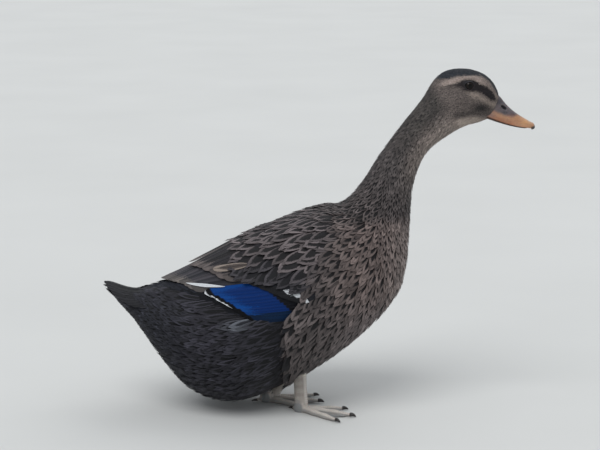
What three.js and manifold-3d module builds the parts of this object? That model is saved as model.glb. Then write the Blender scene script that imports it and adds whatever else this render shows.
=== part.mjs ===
// A life-size standing duck of a heavy farmyard breed, mallard coloured, as a still museum model.
// Millimetres. +X is where the duck faces, +Y is its left side, +Z is up, and the floor is z = 0.
import * as THREE from "three";
import { mergeVertices } from "three/addons/utils/BufferGeometryUtils.js";
import Module from "manifold-3d";

const wasm = await Module();
wasm.setup();

// Driving dimensions.
const GAP = 0.3; // between neighbouring pieces
const FLOOR = 2; // height of the floor in the ribs' own coordinates
const BODY_FACETS = 24; // round the trunk, the neck and the head
const RINGS_PER_RIB = 2.1;
const FULLNESS = 2.15; // how square a section is; 2 is an ellipse
const WING_DEPTH = 9; // of the folded wing over the flank
const TIP_DEPTH = 4; // of the long wing feathers over the rump
const WING_PROUD = 1.5; // how far the folded wing stands out of the trunk
const EYE_RADIUS = 5.4;
const EYE_CENTRE = [181.5, 15.4, 361.5]; // of the left eye
const NOSTRIL = { x: 220, z: 337, length: 7.5, height: 2.8, slope: -0.75 };
const NAIL = { x: 254, z: 317, length: 8.5, width: 7.5 };
const SHANK = { along: 6.6, across: 4.4 }; // half widths of a leg, fore and aft and sideways
const KNUCKLE_HEIGHT = 12; // where a leg meets its foot
const LEG_SINK = 6; // how deep a leg goes into the feathers of the belly
const TOES = [
  { name: "inner", length: 46, splay: -27, radius: 3.5, lift: 1 },
  { name: "middle", length: 58, splay: 0, radius: 3.9, lift: 1 },
  { name: "outer", length: 55, splay: 25, radius: 3.6, lift: 1 },
  { name: "hind", length: 13, splay: 196, radius: 2.6, lift: 5 },
]; // splay is in degrees from the middle toe, lift is how much higher the root is than the tip
const CLAW_LENGTH = 7;
const WEB_THICKNESS = 1.6;
const WEB_CLEARANCE = 0.5; // under the web and the claws, which don't bear on the floor
const HEEL = [8.4, 6, 9.5]; // half sizes of the knob where the toes meet the leg
// Where each foot's joint stands, which way its middle toe points, and where its leg enters the belly.
const LEGS = {
  right: { joint: [2, -32], heading: -22, hip: [-1, -31, 64], outward: -1 },
  left: { joint: [-36, 8], heading: -8, hip: [12, 24, 64], outward: 1 },
};

const MATERIALS = {
  head: { color: 0x6a625c, roughness: 0.85 },
  body: { color: 0x4d443f, roughness: 0.85 },
  shoulder: { color: 0x3f3733, roughness: 0.8 },
  wing: { color: 0x1d3f7a, roughness: 0.5 },
  tail: { color: 0x34312f, roughness: 0.8 },
  bill: { color: 0xb98552, roughness: 0.45 },
  nail: { color: 0x1b1a1c, roughness: 0.35 },
  eye: { color: 0x120d0a, roughness: 0.08 },
  leg: { color: 0xa08a70, roughness: 0.6 },
  claw: { color: 0x3a332d, roughness: 0.4 },
};

// A rib is a section across the body: its upper and its lower edge in the middle plane, [x, z], its half
// width, and how far down it is widest, as a share of its depth.
const rib = (upper, lower, halfWidth, widest = 0.5) => ({ upper, lower, halfWidth, widest });

const TRUNK_RIBS = [
  rib([-203, 130.5], [-206, 125], 12), // end of the tail coverts
  rib([-181, 132.5], [-183, 103], 33),
  rib([-150, 143.5], [-156, 63], 55),
  rib([-113, 164], [-117, 19], 75, 0.52),
  rib([-60, 194.5], [-60, 8], 86, 0.54), // the heavy abdomen
  rib([-12, 217], [-4, 31], 86, 0.52),
  rib([20, 227], [64, 79], 76),
  rib([46, 232], [112, 134], 57), // crop
];
const NECK_RIBS = [
  rib([66, 252], [121, 200], 33),
  rib([85.5, 283], [124, 250], 23),
  rib([110, 317], [138, 286], 19),
  rib([132, 345], [160, 304], 19.5),
];
const HEAD_RIBS = [
  rib([144.8, 366.5], [177, 314], 20.5, 0.52),
  rib([158, 376.5], [187, 317.5], 21.5, 0.53),
  rib([180, 378.5], [194.5, 319.5], 21.5, 0.53), // through the eyes
  rib([198.5, 373], [199.5, 321.5], 18.6, 0.54),
  rib([209.8, 363], [202.5, 322.5], 14.8, 0.54),
  rib([216.5, 348.7], [204.5, 323], 11, 0.5), // where the bill begins
];
const BILL_RIBS = [
  rib([216.8, 348], [204.8, 323.4], 10.6),
  rib([224, 339.5], [214, 320.3], 9.7),
  rib([233, 331.5], [225, 317], 9.4),
  rib([243, 324.8], [237, 314.6], 10.2),
  rib([251, 320], [248.5, 313], 9),
  rib([255, 316], [254, 312.2], 3.6),
];
const TAIL_RIBS = [
  rib([-138, 138], [-138, 134.5], 30),
  rib([-168, 131.5], [-168, 128], 37),
  rib([-190, 130.8], [-190, 127.8], 35),
  rib([-207, 136], [-207.5, 133.6], 23),
  rib([-217.5, 141], [-218, 139.6], 5),
];

// Side-view outlines, [x, z], of the lower edges of the folded wing's layers, from front to back. The
// first point and the last rise above the back.
const ABOVE = 270;
const PAST_FLANK = 120;
const SHOULDER_EDGE = [[34, 226], [31, 206], [16, 178], [-10, 158], [-44, 148], [-84, 150], [-118, 160]];
const WING_EDGE = [
  [24, 200], [13, 166], [-1, 138], [-16, 125], [-42, 121], [-66, 126], [-86, 139], [-130, 158],
];
const TIP_EDGE = [[-80, 134], [-108, 139], [-144, 140], [-180, 135], [-187, 139], [-176, 148]];
const MOUTH_LINE = [[200, 328], [213, 322.8], [225, 318.8], [236, 316.2], [247, 314.8], [258, 313]];

// ---- building blocks ----

function loft(rings) {
  // A closed body through rings of equal count, with a flat fan on each end.
  const around = rings[0].length;
  const points = rings.flat();
  const index = [];
  for (let i = 0; i < rings.length - 1; i++) {
    for (let j = 0; j < around; j++) {
      const next = (j + 1) % around;
      const [a, b] = [i * around + j, i * around + next];
      index.push(a, b, b + around, a, b + around, a + around);
    }
  }
  for (const ring of [0, rings.length - 1]) {
    const middle = new THREE.Vector3();
    rings[ring].forEach((point) => middle.add(point));
    points.push(middle.divideScalar(around));
    for (let j = 0; j < around; j++) {
      const [here, next] = [ring * around + j, ring * around + ((j + 1) % around)];
      index.push(points.length - 1, ...(ring === 0 ? [next, here] : [here, next]));
    }
  }
  return new THREE.BufferGeometry().setFromPoints(points).setIndex(index);
}

function solid(geometry) {
  // The geometry as a manifold-3d solid, turned right side out.
  const plain = geometry.clone();
  plain.deleteAttribute("normal");
  plain.deleteAttribute("uv");
  const merged = mergeVertices(plain, 1e-4);
  const vertProperties = new Float32Array(merged.attributes.position.array);
  const triVerts = new Uint32Array(merged.index.array);
  const made = new wasm.Manifold(new wasm.Mesh({ numProp: 3, vertProperties, triVerts }));
  if (made.volume() > 0) {
    return made;
  }
  return new wasm.Manifold(new wasm.Mesh({ numProp: 3, vertProperties, triVerts: triVerts.reverse() }));
}

function geometryOf(manifold) {
  const mesh = manifold.getMesh();
  const position = new THREE.BufferAttribute(new Float32Array(mesh.vertProperties), 3);
  const index = new THREE.BufferAttribute(new Uint32Array(mesh.triVerts), 1);
  return new THREE.BufferGeometry().setAttribute("position", position).setIndex(index);
}

function extruded(shape, depth) {
  return new THREE.ExtrudeGeometry(shape, { depth, bevelEnabled: false, curveSegments: 6 });
}

function grownOutline(points, by) {
  // The outline moved outwards by a distance, with mitred corners; its points run anticlockwise.
  return points.map((point, i) => {
    const before = points[(i + points.length - 1) % points.length];
    const after = points[(i + 1) % points.length];
    const arriving = new THREE.Vector2().subVectors(point, before).normalize();
    const leaving = new THREE.Vector2().subVectors(after, point).normalize();
    const mitre = arriving.clone().add(leaving).normalize();
    const reach = by / Math.max(mitre.dot(leaving), 0.3);
    return new THREE.Vector2(point.x + mitre.y * reach, point.y - mitre.x * reach);
  });
}

function sideSlab(edge, side, grow = 0) {
  // A prism over a side-view outline, from the middle plane out past one flank: side is 1 for the left.
  const curve = new THREE.SplineCurve(edge.map(([x, z]) => new THREE.Vector2(x, z)));
  const lower = curve.getPoints(edge.length * 3).reverse();
  const [rear, front] = [lower[0], lower[lower.length - 1]];
  const outline = [...lower, new THREE.Vector2(front.x, ABOVE), new THREE.Vector2(rear.x, ABOVE)];
  const inner = GAP / 2 - grow;
  const slab = extruded(new THREE.Shape(grownOutline(outline, grow)), PAST_FLANK).rotateX(Math.PI / 2);
  return solid(slab.translate(0, side > 0 ? PAST_FLANK + inner : -inner, 0));
}

const duck = new THREE.Group();
duck.name = "duck";

function place(name, manifold, material) {
  const mesh = new THREE.Mesh(geometryOf(manifold), new THREE.MeshStandardMaterial(MATERIALS[material]));
  mesh.name = name;
  duck.add(mesh);
}

// ---- lofts through ribs ----

function skeinOf(ribs) {
  // Smooth lines along the ribs' upper edges, lower edges and widths.
  const line = (pick) => new THREE.CatmullRomCurve3(ribs.map((each) => new THREE.Vector3(...pick(each))));
  return {
    upper: line((each) => [each.upper[0], 0, each.upper[1]]),
    lower: line((each) => [each.lower[0], 0, each.lower[1]]),
    girth: line((each) => [each.halfWidth, each.widest, 0]),
    count: ribs.length,
  };
}

function sectionAt(skein, along, { grow = 0, fullness = FULLNESS, facets = BODY_FACETS, droop = 0 } = {}) {
  // The ring of points at a place along the ribs, from 0 to 1, drawn outwards by grow.
  const upper = skein.upper.getPoint(along);
  const lower = skein.lower.getPoint(along);
  const girth = skein.girth.getPoint(along);
  const down = lower.clone().sub(upper);
  const depth = down.length();
  down.normalize();
  const middle = upper.clone().addScaledVector(down, depth * girth.y);
  const bent = (value) => Math.sign(value) * Math.abs(value) ** (2 / fullness);
  return Array.from({ length: facets }, (_, i) => {
    const angle = (i / facets) * 2 * Math.PI;
    const reach = depth * (Math.cos(angle) > 0 ? girth.y : 1 - girth.y) + grow;
    const point = middle.clone().addScaledVector(down, -bent(Math.cos(angle)) * Math.max(reach, 0.6));
    point.y = bent(Math.sin(angle)) * Math.max(girth.x + grow, 0.6);
    point.z -= droop * point.y ** 2;
    return point;
  });
}

function loftAlong(skein, from, to, options = {}) {
  const steps = Math.max(3, Math.round((to - from) * (skein.count - 1) * RINGS_PER_RIB));
  const rings = [];
  for (let i = 0; i <= steps; i++) {
    rings.push(sectionAt(skein, THREE.MathUtils.lerp(from, to, i / steps), options));
  }
  return solid(loft(rings));
}

// ---- trunk, neck and head: one long form, parted by thin cuts ----

const body = skeinOf([...TRUNK_RIBS, ...NECK_RIBS, ...HEAD_RIBS]);
const NECK_ROOT = (TRUNK_RIBS.length - 0.5) / (body.count - 1);
const NAPE = (TRUNK_RIBS.length + NECK_RIBS.length - 0.4) / (body.count - 1);

function stepAlong(along, distance) {
  // The place that is a distance in millimetres further along the body.
  const middle = (at) => body.upper.getPoint(at).lerp(body.lower.getPoint(at), 0.5);
  const small = 1e-3;
  return along + (small * distance) / middle(along).distanceTo(middle(along + small));
}

let trunk = loftAlong(body, 0, stepAlong(NECK_ROOT, -GAP / 2));
const neck = loftAlong(body, stepAlong(NECK_ROOT, GAP / 2), stepAlong(NAPE, -GAP / 2));
let head = loftAlong(body, stepAlong(NAPE, GAP / 2), 1);
const trunkGrown = (grow) => loftAlong(body, 0, NECK_ROOT, { grow });

// ---- tail: a thin fan, arched across and turned up at its end ----

const tailSkein = skeinOf(TAIL_RIBS);
const tailShape = { fullness: 2.6, facets: 20, droop: 0.007 };
const tail = loftAlong(tailSkein, 0, 1, tailShape);
const roomForTail = loftAlong(tailSkein, 0, 1, { ...tailShape, grow: GAP });
trunk = trunk.subtract(roomForTail);
place("tail", tail, "tail");

// ---- folded wings: layers over the flank and the rump ----

const underWing = trunkGrown(-WING_DEPTH);
const underWingGap = trunkGrown(-WING_DEPTH + GAP);
const underTip = trunkGrown(-TIP_DEPTH);
const underTipGap = trunkGrown(-TIP_DEPTH + GAP);
const wingSurface = trunkGrown(WING_PROUD);

for (const [side, sign] of [["left", 1], ["right", -1]]) {
  const shoulder = wingSurface.intersect(sideSlab(SHOULDER_EDGE, sign)).subtract(underWingGap);
  const roomForShoulder = sideSlab(SHOULDER_EDGE, sign, GAP);
  const wing = wingSurface
    .intersect(sideSlab(WING_EDGE, sign))
    .subtract(roomForShoulder)
    .subtract(underWingGap);
  const roomForWing = sideSlab(WING_EDGE, sign, GAP);
  const tip = wingSurface
    .intersect(sideSlab(TIP_EDGE, sign))
    .subtract(roomForShoulder)
    .subtract(roomForWing)
    .subtract(underTipGap)
    .subtract(roomForTail);
  const roomForTip = sideSlab(TIP_EDGE, sign, GAP);
  trunk = trunk
    .subtract(roomForShoulder.subtract(underWing))
    .subtract(roomForWing.subtract(underWing))
    .subtract(roomForTip.subtract(underTip));
  place(`shoulder_feathers_${side}`, shoulder, "shoulder");
  place(`wing_${side}`, wing, "wing");
  place(`wing_tip_${side}`, tip, "tail");
}

// ---- head: eyes in sockets cut a little larger, and the bill in two halves with its nail ----

for (const [side, sign] of [["left", 1], ["right", -1]]) {
  const [x, y, z] = EYE_CENTRE;
  const ball = (radius) => solid(new THREE.SphereGeometry(radius, 12, 8).translate(x, sign * y, z));
  head = head.subtract(ball(EYE_RADIUS + GAP));
  place(`eye_${side}`, ball(EYE_RADIUS), "eye");
}

function belowMouth(drop) {
  // Everything of the bill under its mouth line, or under a line that much lower.
  const line = new THREE.SplineCurve(MOUTH_LINE.map(([x, z]) => new THREE.Vector2(x, z - drop)));
  const top = line.getPoints(MOUTH_LINE.length * 2).reverse();
  const floor = 300;
  const [front, rear] = [top[0].x, top[top.length - 1].x];
  const outline = [...top, new THREE.Vector2(rear, floor), new THREE.Vector2(front, floor)];
  const width = 60;
  return solid(extruded(new THREE.Shape(outline), width).rotateX(Math.PI / 2).translate(0, width / 2, 0));
}

function nostrilCut() {
  const { x, z, length, height, slope } = NOSTRIL;
  const slot = new THREE.SphereGeometry(0.5, 8, 6).scale(length, 40, height);
  return solid(slot.rotateY(-Math.atan(slope)).translate(x, 0, z));
}

function nailForm(grow) {
  const { x, z, length, width } = NAIL;
  const form = new THREE.SphereGeometry(0.5, 12, 8);
  form.scale(2 * length + 2 * grow, width + 2 * grow, 2 * length + 2 * grow);
  return solid(form.translate(x + length / 4, 0, z - length / 4));
}

const billSkein = skeinOf(BILL_RIBS);
const billShape = { fullness: 2.6, facets: 16 };
const bill = loftAlong(billSkein, 0, 1, billShape);
const underbite = { share: 0.86, inset: 1.1 }; // the lower half is shorter and narrower than the upper
const lowerBill = loftAlong(billSkein, 0, underbite.share, { ...billShape, grow: -underbite.inset })
  .intersect(belowMouth(GAP));
const upperBill = bill.subtract(belowMouth(0)).subtract(nostrilCut());
place("bill_upper", upperBill.subtract(nailForm(GAP)), "bill");
place("bill_nail", upperBill.intersect(nailForm(0)), "nail");
place("bill_lower", lowerBill, "bill");

// ---- legs, webbed feet and claws ----

function taper(path, radii, facets = 8) {
  // A closed form round a path, with an ellipse of its own at each point of the path.
  const rings = path.map((centre, i) => Array.from({ length: facets }, (_, j) => {
    const angle = (j / facets) * 2 * Math.PI;
    return radii[i].side.clone().multiplyScalar(Math.cos(angle) * radii[i].across)
      .addScaledVector(radii[i].up, Math.sin(angle) * radii[i].along)
      .add(centre);
  }));
  return loft(rings);
}

function aboveHeight(z) {
  // All the space round the duck above a height.
  const size = 800;
  return solid(new THREE.BoxGeometry(size, size, size).translate(0, 0, z + size / 2));
}

function shank(joint, hip, grow = 0) {
  // The bare leg: a flattened tube, wider where it meets the foot.
  const foot = new THREE.Vector3(joint[0], joint[1], FLOOR);
  const top = new THREE.Vector3(...hip);
  const steps = 8;
  const path = [];
  const radii = [];
  for (let i = 0; i <= steps; i++) {
    const share = i / steps;
    const flare = 1 + 0.32 * Math.exp(-share * 9) + 0.1 * share;
    path.push(foot.clone().lerp(top, share));
    radii.push({
      side: new THREE.Vector3(0, 1, 0),
      up: new THREE.Vector3(1, 0, 0),
      across: SHANK.across * flare + grow,
      along: SHANK.along * flare + grow,
    });
  }
  return solid(taper(path, radii, 10));
}

function toe({ length, radius, lift }, grow = 0) {
  // A toe along +X from the joint, with a knuckle at each bone's end, not yet flattened underneath.
  const steps = 7;
  const bones = 3;
  const path = [];
  const radii = [];
  for (let i = 0; i <= steps; i++) {
    const share = i / steps;
    const knuckle = 1 + 0.07 * Math.cos(share * bones * 2 * Math.PI);
    const end = Math.sqrt(Math.max(1 - share ** 8, 0.12));
    const size = radius * (1.12 - 0.3 * share) * knuckle * end;
    path.push(new THREE.Vector3(length * share, 0, radius * 0.7 + lift * (1 - share)));
    radii.push({
      side: new THREE.Vector3(0, 1, 0),
      up: new THREE.Vector3(0, 0, 1),
      across: size + grow,
      along: size * 0.92 + grow,
    });
  }
  return taper(path, radii);
}

function web(first, second, outward) {
  // The skin between two toes, with a hollow front edge.
  const nearTip = ({ length, splay }) => {
    const angle = THREE.MathUtils.degToRad(outward * splay);
    return new THREE.Vector2(Math.cos(angle), Math.sin(angle)).multiplyScalar(length * 0.93);
  };
  const [a, b] = [nearTip(first), nearTip(second)];
  const hollow = a.clone().add(b).multiplyScalar(0.42);
  const outline = new THREE.Shape();
  outline.moveTo(-3, 0);
  outline.lineTo(a.x, a.y);
  outline.quadraticCurveTo(hollow.x, hollow.y, b.x, b.y);
  outline.closePath();
  return extruded(outline, WEB_THICKNESS).translate(0, 0, WEB_CLEARANCE);
}

function claw(radius) {
  // A small blunt hook along +X from its root.
  const steps = 3;
  const path = [];
  const radii = [];
  for (let i = 0; i <= steps; i++) {
    const share = i / steps;
    path.push(new THREE.Vector3(CLAW_LENGTH * share, 0, radius * 0.75 - 0.2 * share ** 2 * radius));
    radii.push({
      side: new THREE.Vector3(0, 1, 0),
      up: new THREE.Vector3(0, 0, 1),
      across: radius * 0.5 * (1 - 0.72 * share),
      along: radius * 0.55 * (1 - 0.72 * share),
    });
  }
  return taper(path, radii, 6);
}

const deepBelly = trunkGrown(-LEG_SINK);
const deepBellyGap = trunkGrown(-LEG_SINK + GAP);

for (const [side, { joint, heading, hip, outward }] of Object.entries(LEGS)) {
  const set = (geometry, splay = 0) => {
    const angle = THREE.MathUtils.degToRad(heading + outward * splay);
    return solid(geometry.rotateZ(angle).translate(joint[0], joint[1], FLOOR));
  };
  const [inner, middle, outer, hind] = TOES;
  const heel = (grow) => {
    const knob = new THREE.SphereGeometry(1, 8, 6).scale(...HEEL.map((half) => half + grow));
    return set(knob.translate(-1, 0, HEEL[2] / 2)).add(set(toe(hind, grow), hind.splay));
  };
  let foot = heel(0).add(set(web(inner, middle, outward))).add(set(web(middle, outer, outward)));
  for (const each of [inner, middle, outer]) {
    foot = foot.add(set(toe(each), each.splay));
  }
  const knuckle = FLOOR + KNUCKLE_HEIGHT;
  const leg = shank(joint, hip);
  foot = foot.add(leg).intersect(aboveHeight(FLOOR)).subtract(aboveHeight(knuckle));
  place(`foot_${side}`, foot, "leg");
  place(`leg_${side}`, leg.intersect(aboveHeight(knuckle + GAP)).subtract(deepBellyGap), "leg");
  trunk = trunk.subtract(shank(joint, hip, GAP).subtract(deepBelly)).subtract(heel(GAP));
  for (const each of TOES) {
    const hook = claw(each.radius).translate(each.length + GAP + 0.2, 0, WEB_CLEARANCE);
    place(`claw_${each.name}_${side}`, set(hook, each.splay), "claw");
  }
}

place("trunk", trunk, "body");
place("neck", neck, "body");
place("head", head, "head");

// The origin is under the middle of the whole duck, at floor level.
const box = new THREE.Box3().setFromObject(duck);
const centre = box.getCenter(new THREE.Vector3());
duck.position.set(-centre.x, -centre.y, -box.min.z);

export default duck;
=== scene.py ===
import math
from functools import partial

import bmesh
import bpy
import numpy as np
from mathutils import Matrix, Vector
from mathutils.bvhtree import BVHTree
from mathutils.kdtree import KDTree


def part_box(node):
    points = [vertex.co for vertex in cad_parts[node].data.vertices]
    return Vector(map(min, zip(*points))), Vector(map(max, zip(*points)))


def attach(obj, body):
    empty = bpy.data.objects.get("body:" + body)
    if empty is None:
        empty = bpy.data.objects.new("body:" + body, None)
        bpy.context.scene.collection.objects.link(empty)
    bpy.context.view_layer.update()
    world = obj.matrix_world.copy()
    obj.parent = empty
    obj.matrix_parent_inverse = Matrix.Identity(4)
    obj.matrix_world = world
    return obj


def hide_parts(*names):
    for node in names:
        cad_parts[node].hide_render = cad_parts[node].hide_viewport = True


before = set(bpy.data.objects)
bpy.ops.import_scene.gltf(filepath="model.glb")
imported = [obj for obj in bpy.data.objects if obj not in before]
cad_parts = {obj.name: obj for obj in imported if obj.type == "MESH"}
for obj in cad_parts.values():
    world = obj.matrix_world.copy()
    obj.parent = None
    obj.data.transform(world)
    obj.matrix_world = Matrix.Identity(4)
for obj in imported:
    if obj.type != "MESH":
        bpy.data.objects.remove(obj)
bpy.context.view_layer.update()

mm = 0.001
rng = np.random.default_rng(23)


def linear(hexColour):
    # an sRGB hex colour as three linear numbers
    parts = np.array([int(hexColour[i:i + 2], 16) / 255 for i in (0, 2, 4)])
    return np.where(parts <= 0.04045, parts / 12.92, ((parts + 0.055) / 1.055) ** 2.4)


def opaque(hexColour):
    return (*linear(hexColour), 1)


def ramp(value, low, high):
    # a smooth step from 0 at low to 1 at high, whichever of the two is greater
    share = np.clip((value - low) / (high - low), 0, 1)
    return share * share * (3 - 2 * share)


def hill(distance, radius):
    return np.exp(-(distance / radius) ** 2)


def blend(first, second, share):
    return first + (second - first) * share


def tinted(colour, *layers):
    # hex colours laid over a colour, each with its share at every point
    for hexColour, share in layers:
        colour = blend(colour, linear(hexColour), share[..., None])
    return colour


def spline(rows, at):
    # smooth values through evenly numbered rows, read at fractional row numbers
    rows = np.asarray(rows, float)
    if rows.ndim == 1:
        rows = rows[:, None]
    at = np.clip(np.asarray(at, float), 0, len(rows) - 1)
    i = np.minimum(at.astype(int), len(rows) - 2)
    f = (at - i)[..., None]
    before, here = rows[np.maximum(i - 1, 0)], rows[i]
    after, beyond = rows[i + 1], rows[np.minimum(i + 2, len(rows) - 1)]
    return 0.5 * (2 * here + (after - before) * f + (2 * before - 5 * here + 4 * after - beyond) * f ** 2
                  + (3 * here - before - 3 * after + beyond) * f ** 3)


def unit(vectors):
    return vectors / np.maximum(np.linalg.norm(vectors, axis=-1, keepdims=True), 1e-12)


def dot(first, second):
    return (first * second).sum(-1, keepdims=True)


def circle(count):
    return np.linspace(0, 2 * math.pi, count, endpoint=False)


def add(tree, kind, inputs=None, **settings):
    # one shader node with its settings, fixed values and links. It gives back the node's outputs.
    node = tree.nodes.new("ShaderNode" + kind)
    for name, value in settings.items():
        setattr(node, name, value)
    for socket, value in (inputs or {}).items():
        if isinstance(value, bpy.types.NodeSocket):
            tree.links.new(value, node.inputs[socket])
        else:
            node.inputs[socket].default_value = value
    return node.outputs


def newMaterial(name):
    # an empty material, and what adds nodes to it
    material = bpy.data.materials.new(name)
    material.use_nodes = True
    material.node_tree.nodes.clear()
    return material, partial(add, material.node_tree)


def newObject(name, data):
    made = bpy.data.objects.new(name, data)
    bpy.context.scene.collection.objects.link(made)
    return made


def gridFaces(rows, columns, closed=True):
    # four-sided faces between rows of points, which run round to their first point if closed
    i, j = np.meshgrid(np.arange(rows - 1), np.arange(columns if closed else columns - 1), indexing="ij")
    k = (j + 1) % columns
    return np.stack([i * columns + j, (i + 1) * columns + j, (i + 1) * columns + k, i * columns + k], -1)


def newPiece(name, points, quads, material=None, triangles=()):
    # a smooth-shaded mesh object
    mesh = bpy.data.meshes.new(name)
    faces = []
    for some, sides in ((quads, 4), (triangles, 3)):
        faces += np.reshape(some, (-1, sides)).astype(int).tolist()
    mesh.from_pydata(np.reshape(points, (-1, 3)).tolist(), [], faces)
    mesh.validate()
    mesh.shade_smooth()
    if material:
        mesh.materials.append(material)
    return newObject(name, mesh)


def closedPiece(name, ringPoints, material=None):
    # a closed form from rings of points, with a fan at each end and its faces turned outward
    count, each = ringPoints.shape[:2]
    points = np.concatenate([ringPoints.reshape(-1, 3), [ringPoints[0].mean(0), ringPoints[-1].mean(0)]])
    turn = np.arange(each)
    following = (turn + 1) % each
    total, last = count * each, (count - 1) * each
    fans = [np.stack([turn * 0 + total, following, turn], -1),
            np.stack([turn * 0 + total + 1, last + turn, last + following], -1)]
    piece = newPiece(name, points, gridFaces(count, each), material, np.concatenate(fans))
    form = bmesh.new()
    form.from_mesh(piece.data)
    bmesh.ops.recalc_face_normals(form, faces=form.faces)
    form.to_mesh(piece.data)
    form.free()
    return piece


def merge(form, ringPoints):
    # a closed form added to a larger one, from its rings in mm
    piece = closedPiece("part", ringPoints * mm)
    form.from_mesh(piece.data)
    bpy.data.objects.remove(piece)


def objectOf(name, form):
    mesh = bpy.data.meshes.new(name)
    form.to_mesh(mesh)
    form.free()
    return newObject(name, mesh)


def melted(form, voxel):
    # many closed forms as one, without the gaps between them
    whole = objectOf("melted", form)
    remesh = whole.modifiers.new("remesh", "REMESH")
    remesh.mode = "VOXEL"
    remesh.voxel_size = voxel
    return whole


def paint(piece, name, values):
    # a named value on every point of a piece: three numbers are a colour
    values = np.asarray(values, np.float32)
    kind, field = ("FLOAT_COLOR", "color") if values.ndim == 2 else ("FLOAT", "value")
    if values.ndim == 2:
        values = np.concatenate([values, np.ones((len(values), 1), np.float32)], axis=1)
    piece.data.attributes.new(name, kind, "POINT").data.foreach_set(field, values.ravel())


def mapPoints(piece, name, coordinates):
    # a UV map given by point
    corners = np.empty(len(piece.data.loops), np.int32)
    piece.data.loops.foreach_get("vertex_index", corners)
    layer = piece.data.uv_layers.new(name=name)
    layer.data.foreach_set("uv", np.asarray(coordinates, np.float32)[corners].ravel())


def finished(piece, slot, *replaced):
    # a piece given to the frame
    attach(piece, "root")
    if replaced:
        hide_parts(*replaced)
    print(piece.name, len(piece.data.polygons), "faces")


def ringPiece(name, ringPoints, material, colour, slot, *replaced):
    # a finished closed form, with its colour by ring and turn
    piece = closedPiece(name, ringPoints, material)
    colour = colour.reshape(-1, 3)
    paint(piece, "heart", np.concatenate([colour, colour[:1], colour[-1:]]))
    finished(piece, slot, *replaced)


view = {
    "place": (-0.0185, -1.943, 0.587),
    "down": 11.16,  # degrees that the camera looks down
    "lens": 108,
    "farthest": 60,
}
cameraData = bpy.data.cameras.new("camera")
cameraData.lens = view["lens"]
cameraData.clip_end = view["farthest"]
camera = newObject("camera", cameraData)
camera.location = view["place"]
camera.rotation_euler = (math.radians(90 - view["down"]), 0, 0)
bpy.context.scene.camera = camera

studio = {
    "sky": "dfe3e8",
    "skyStrength": 0.72,
    "lamps": {
        # place, how wide the light looks in degrees, strength
        "key": ((-0.7, -1.4, 2.2), 38, 1.5),
        "back": ((0.9, 1.3, 1.9), 50, 0.6),
    },
    "floor": ("c9cac8", "d2d3d1"),
    "floorReach": 30,
}


def buildStudio():
    world = bpy.data.worlds.new("softSky")
    world.use_nodes = True
    tree = world.node_tree
    tree.nodes.clear()
    sky = add(tree, "Background", {"Color": opaque(studio["sky"]), "Strength": studio["skyStrength"]})
    add(tree, "OutputWorld", {"Surface": sky[0]})
    bpy.context.scene.world = world
    for name, (place, spread, strength) in studio["lamps"].items():
        lamp = newObject(name, bpy.data.lights.new(name, "SUN"))
        lamp.data.angle = math.radians(spread)
        lamp.data.energy = strength
        lamp.location = place
        lamp.rotation_euler = (-Vector(place)).to_track_quat("-Z", "Y").to_euler()
    # plaster board, rolled with matt emulsion: no gloss, only faint wide mottling
    material, node = newMaterial("paintedPlaster")
    mottle = node("TexNoise", {"Vector": node("TexCoord")["Object"], "Scale": 3, "Detail": 3})["Fac"]
    first, second = studio["floor"]
    tint = node("MixRGB", {"Fac": mottle, "Color1": opaque(first), "Color2": opaque(second)})
    shader = node("BsdfPrincipled", {"Base Color": tint[0], "Roughness": 0.85})
    node("OutputMaterial", {"Surface": shader[0]})
    reach = studio["floorReach"]
    corners = [(-reach, -reach, 0), (reach, -reach, 0), (reach, reach, 0), (-reach, reach, 0)]
    floor = newPiece("floor", corners, [(0, 1, 2, 3)], material)


buildStudio()
bpy.context.scene.view_settings.view_transform = "Standard"
print("studio ready")

# the nodes that one closed skin replaces
fleshNodes = ["trunk", "neck", "head", "tail"]
for side in ("left", "right"):
    fleshNodes += [f"shoulder_feathers_{side}", f"wing_{side}", f"wing_tip_{side}"]

eyeLow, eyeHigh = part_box("eye_right")
eye = {
    "x": (eyeLow.x + eyeHigh.x) / 2,
    "y": abs(eyeLow.y + eyeHigh.y) / 2,
    "z": (eyeLow.z + eyeHigh.z) / 2,
    "radius": (eyeHigh.z - eyeLow.z) / 2,
}

skinPlan = {
    # upper and lower edge of each ring, x and z in mm, from the rump to the bill
    "stations": [
        (-221.5, 128.5, -224.5, 123), (-199.5, 130.5, -201.5, 101), (-168.5, 141.5, -174.5, 61),
        (-131.5, 162, -135.5, 17), (-78.5, 192.5, -78.5, 6), (-30.5, 215, -22.5, 29),
        (1.5, 225, 45.5, 77), (27.5, 230, 93.5, 132), (47.5, 250, 102.5, 198),
        (67, 281, 105.5, 248), (91.5, 315, 119.5, 284), (113.5, 343, 141.5, 302),
        (126.3, 364.5, 158.5, 312), (139.5, 374.5, 168.5, 315.5), (161.5, 376.5, 176, 317.5),
        (180, 371, 181, 319.5), (191.3, 361, 184, 320.5), (198, 346.7, 186, 321),
    ],
    # at each station, in mm: the gap between rings, and how deep the skin lies under the feathers' tips
    "ringGap": [3, 3, 3, 3, 3, 3, 3, 3, 2.6, 2.2, 1.8, 1.5, 1.1, 1, 1, 1, 1, 1],
    "coat": [1.6, 2.5, 4, 5.5, 6, 5.4, 4.2, 3.6, 3.1, 2.8, 2.5, 2.1, 1.6, 1.3, 1.2, 1.1, 0.9, 0.35],
    "around": 144,
    "voxel": 2.5 * mm,
    # cheeks, brows and the hollow round each eye: where from the eye, reach and height, in mm
    "headForms": [
        (0, 0, 8, -1.1), (1, 7.5, 6, 0.7), (13, -5, 8, -1.2), (-9, -16, 12, 1.0), (8, -19, 8, 0.7),
        (-14, -3, 9, -0.5),
    ],
}


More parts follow.
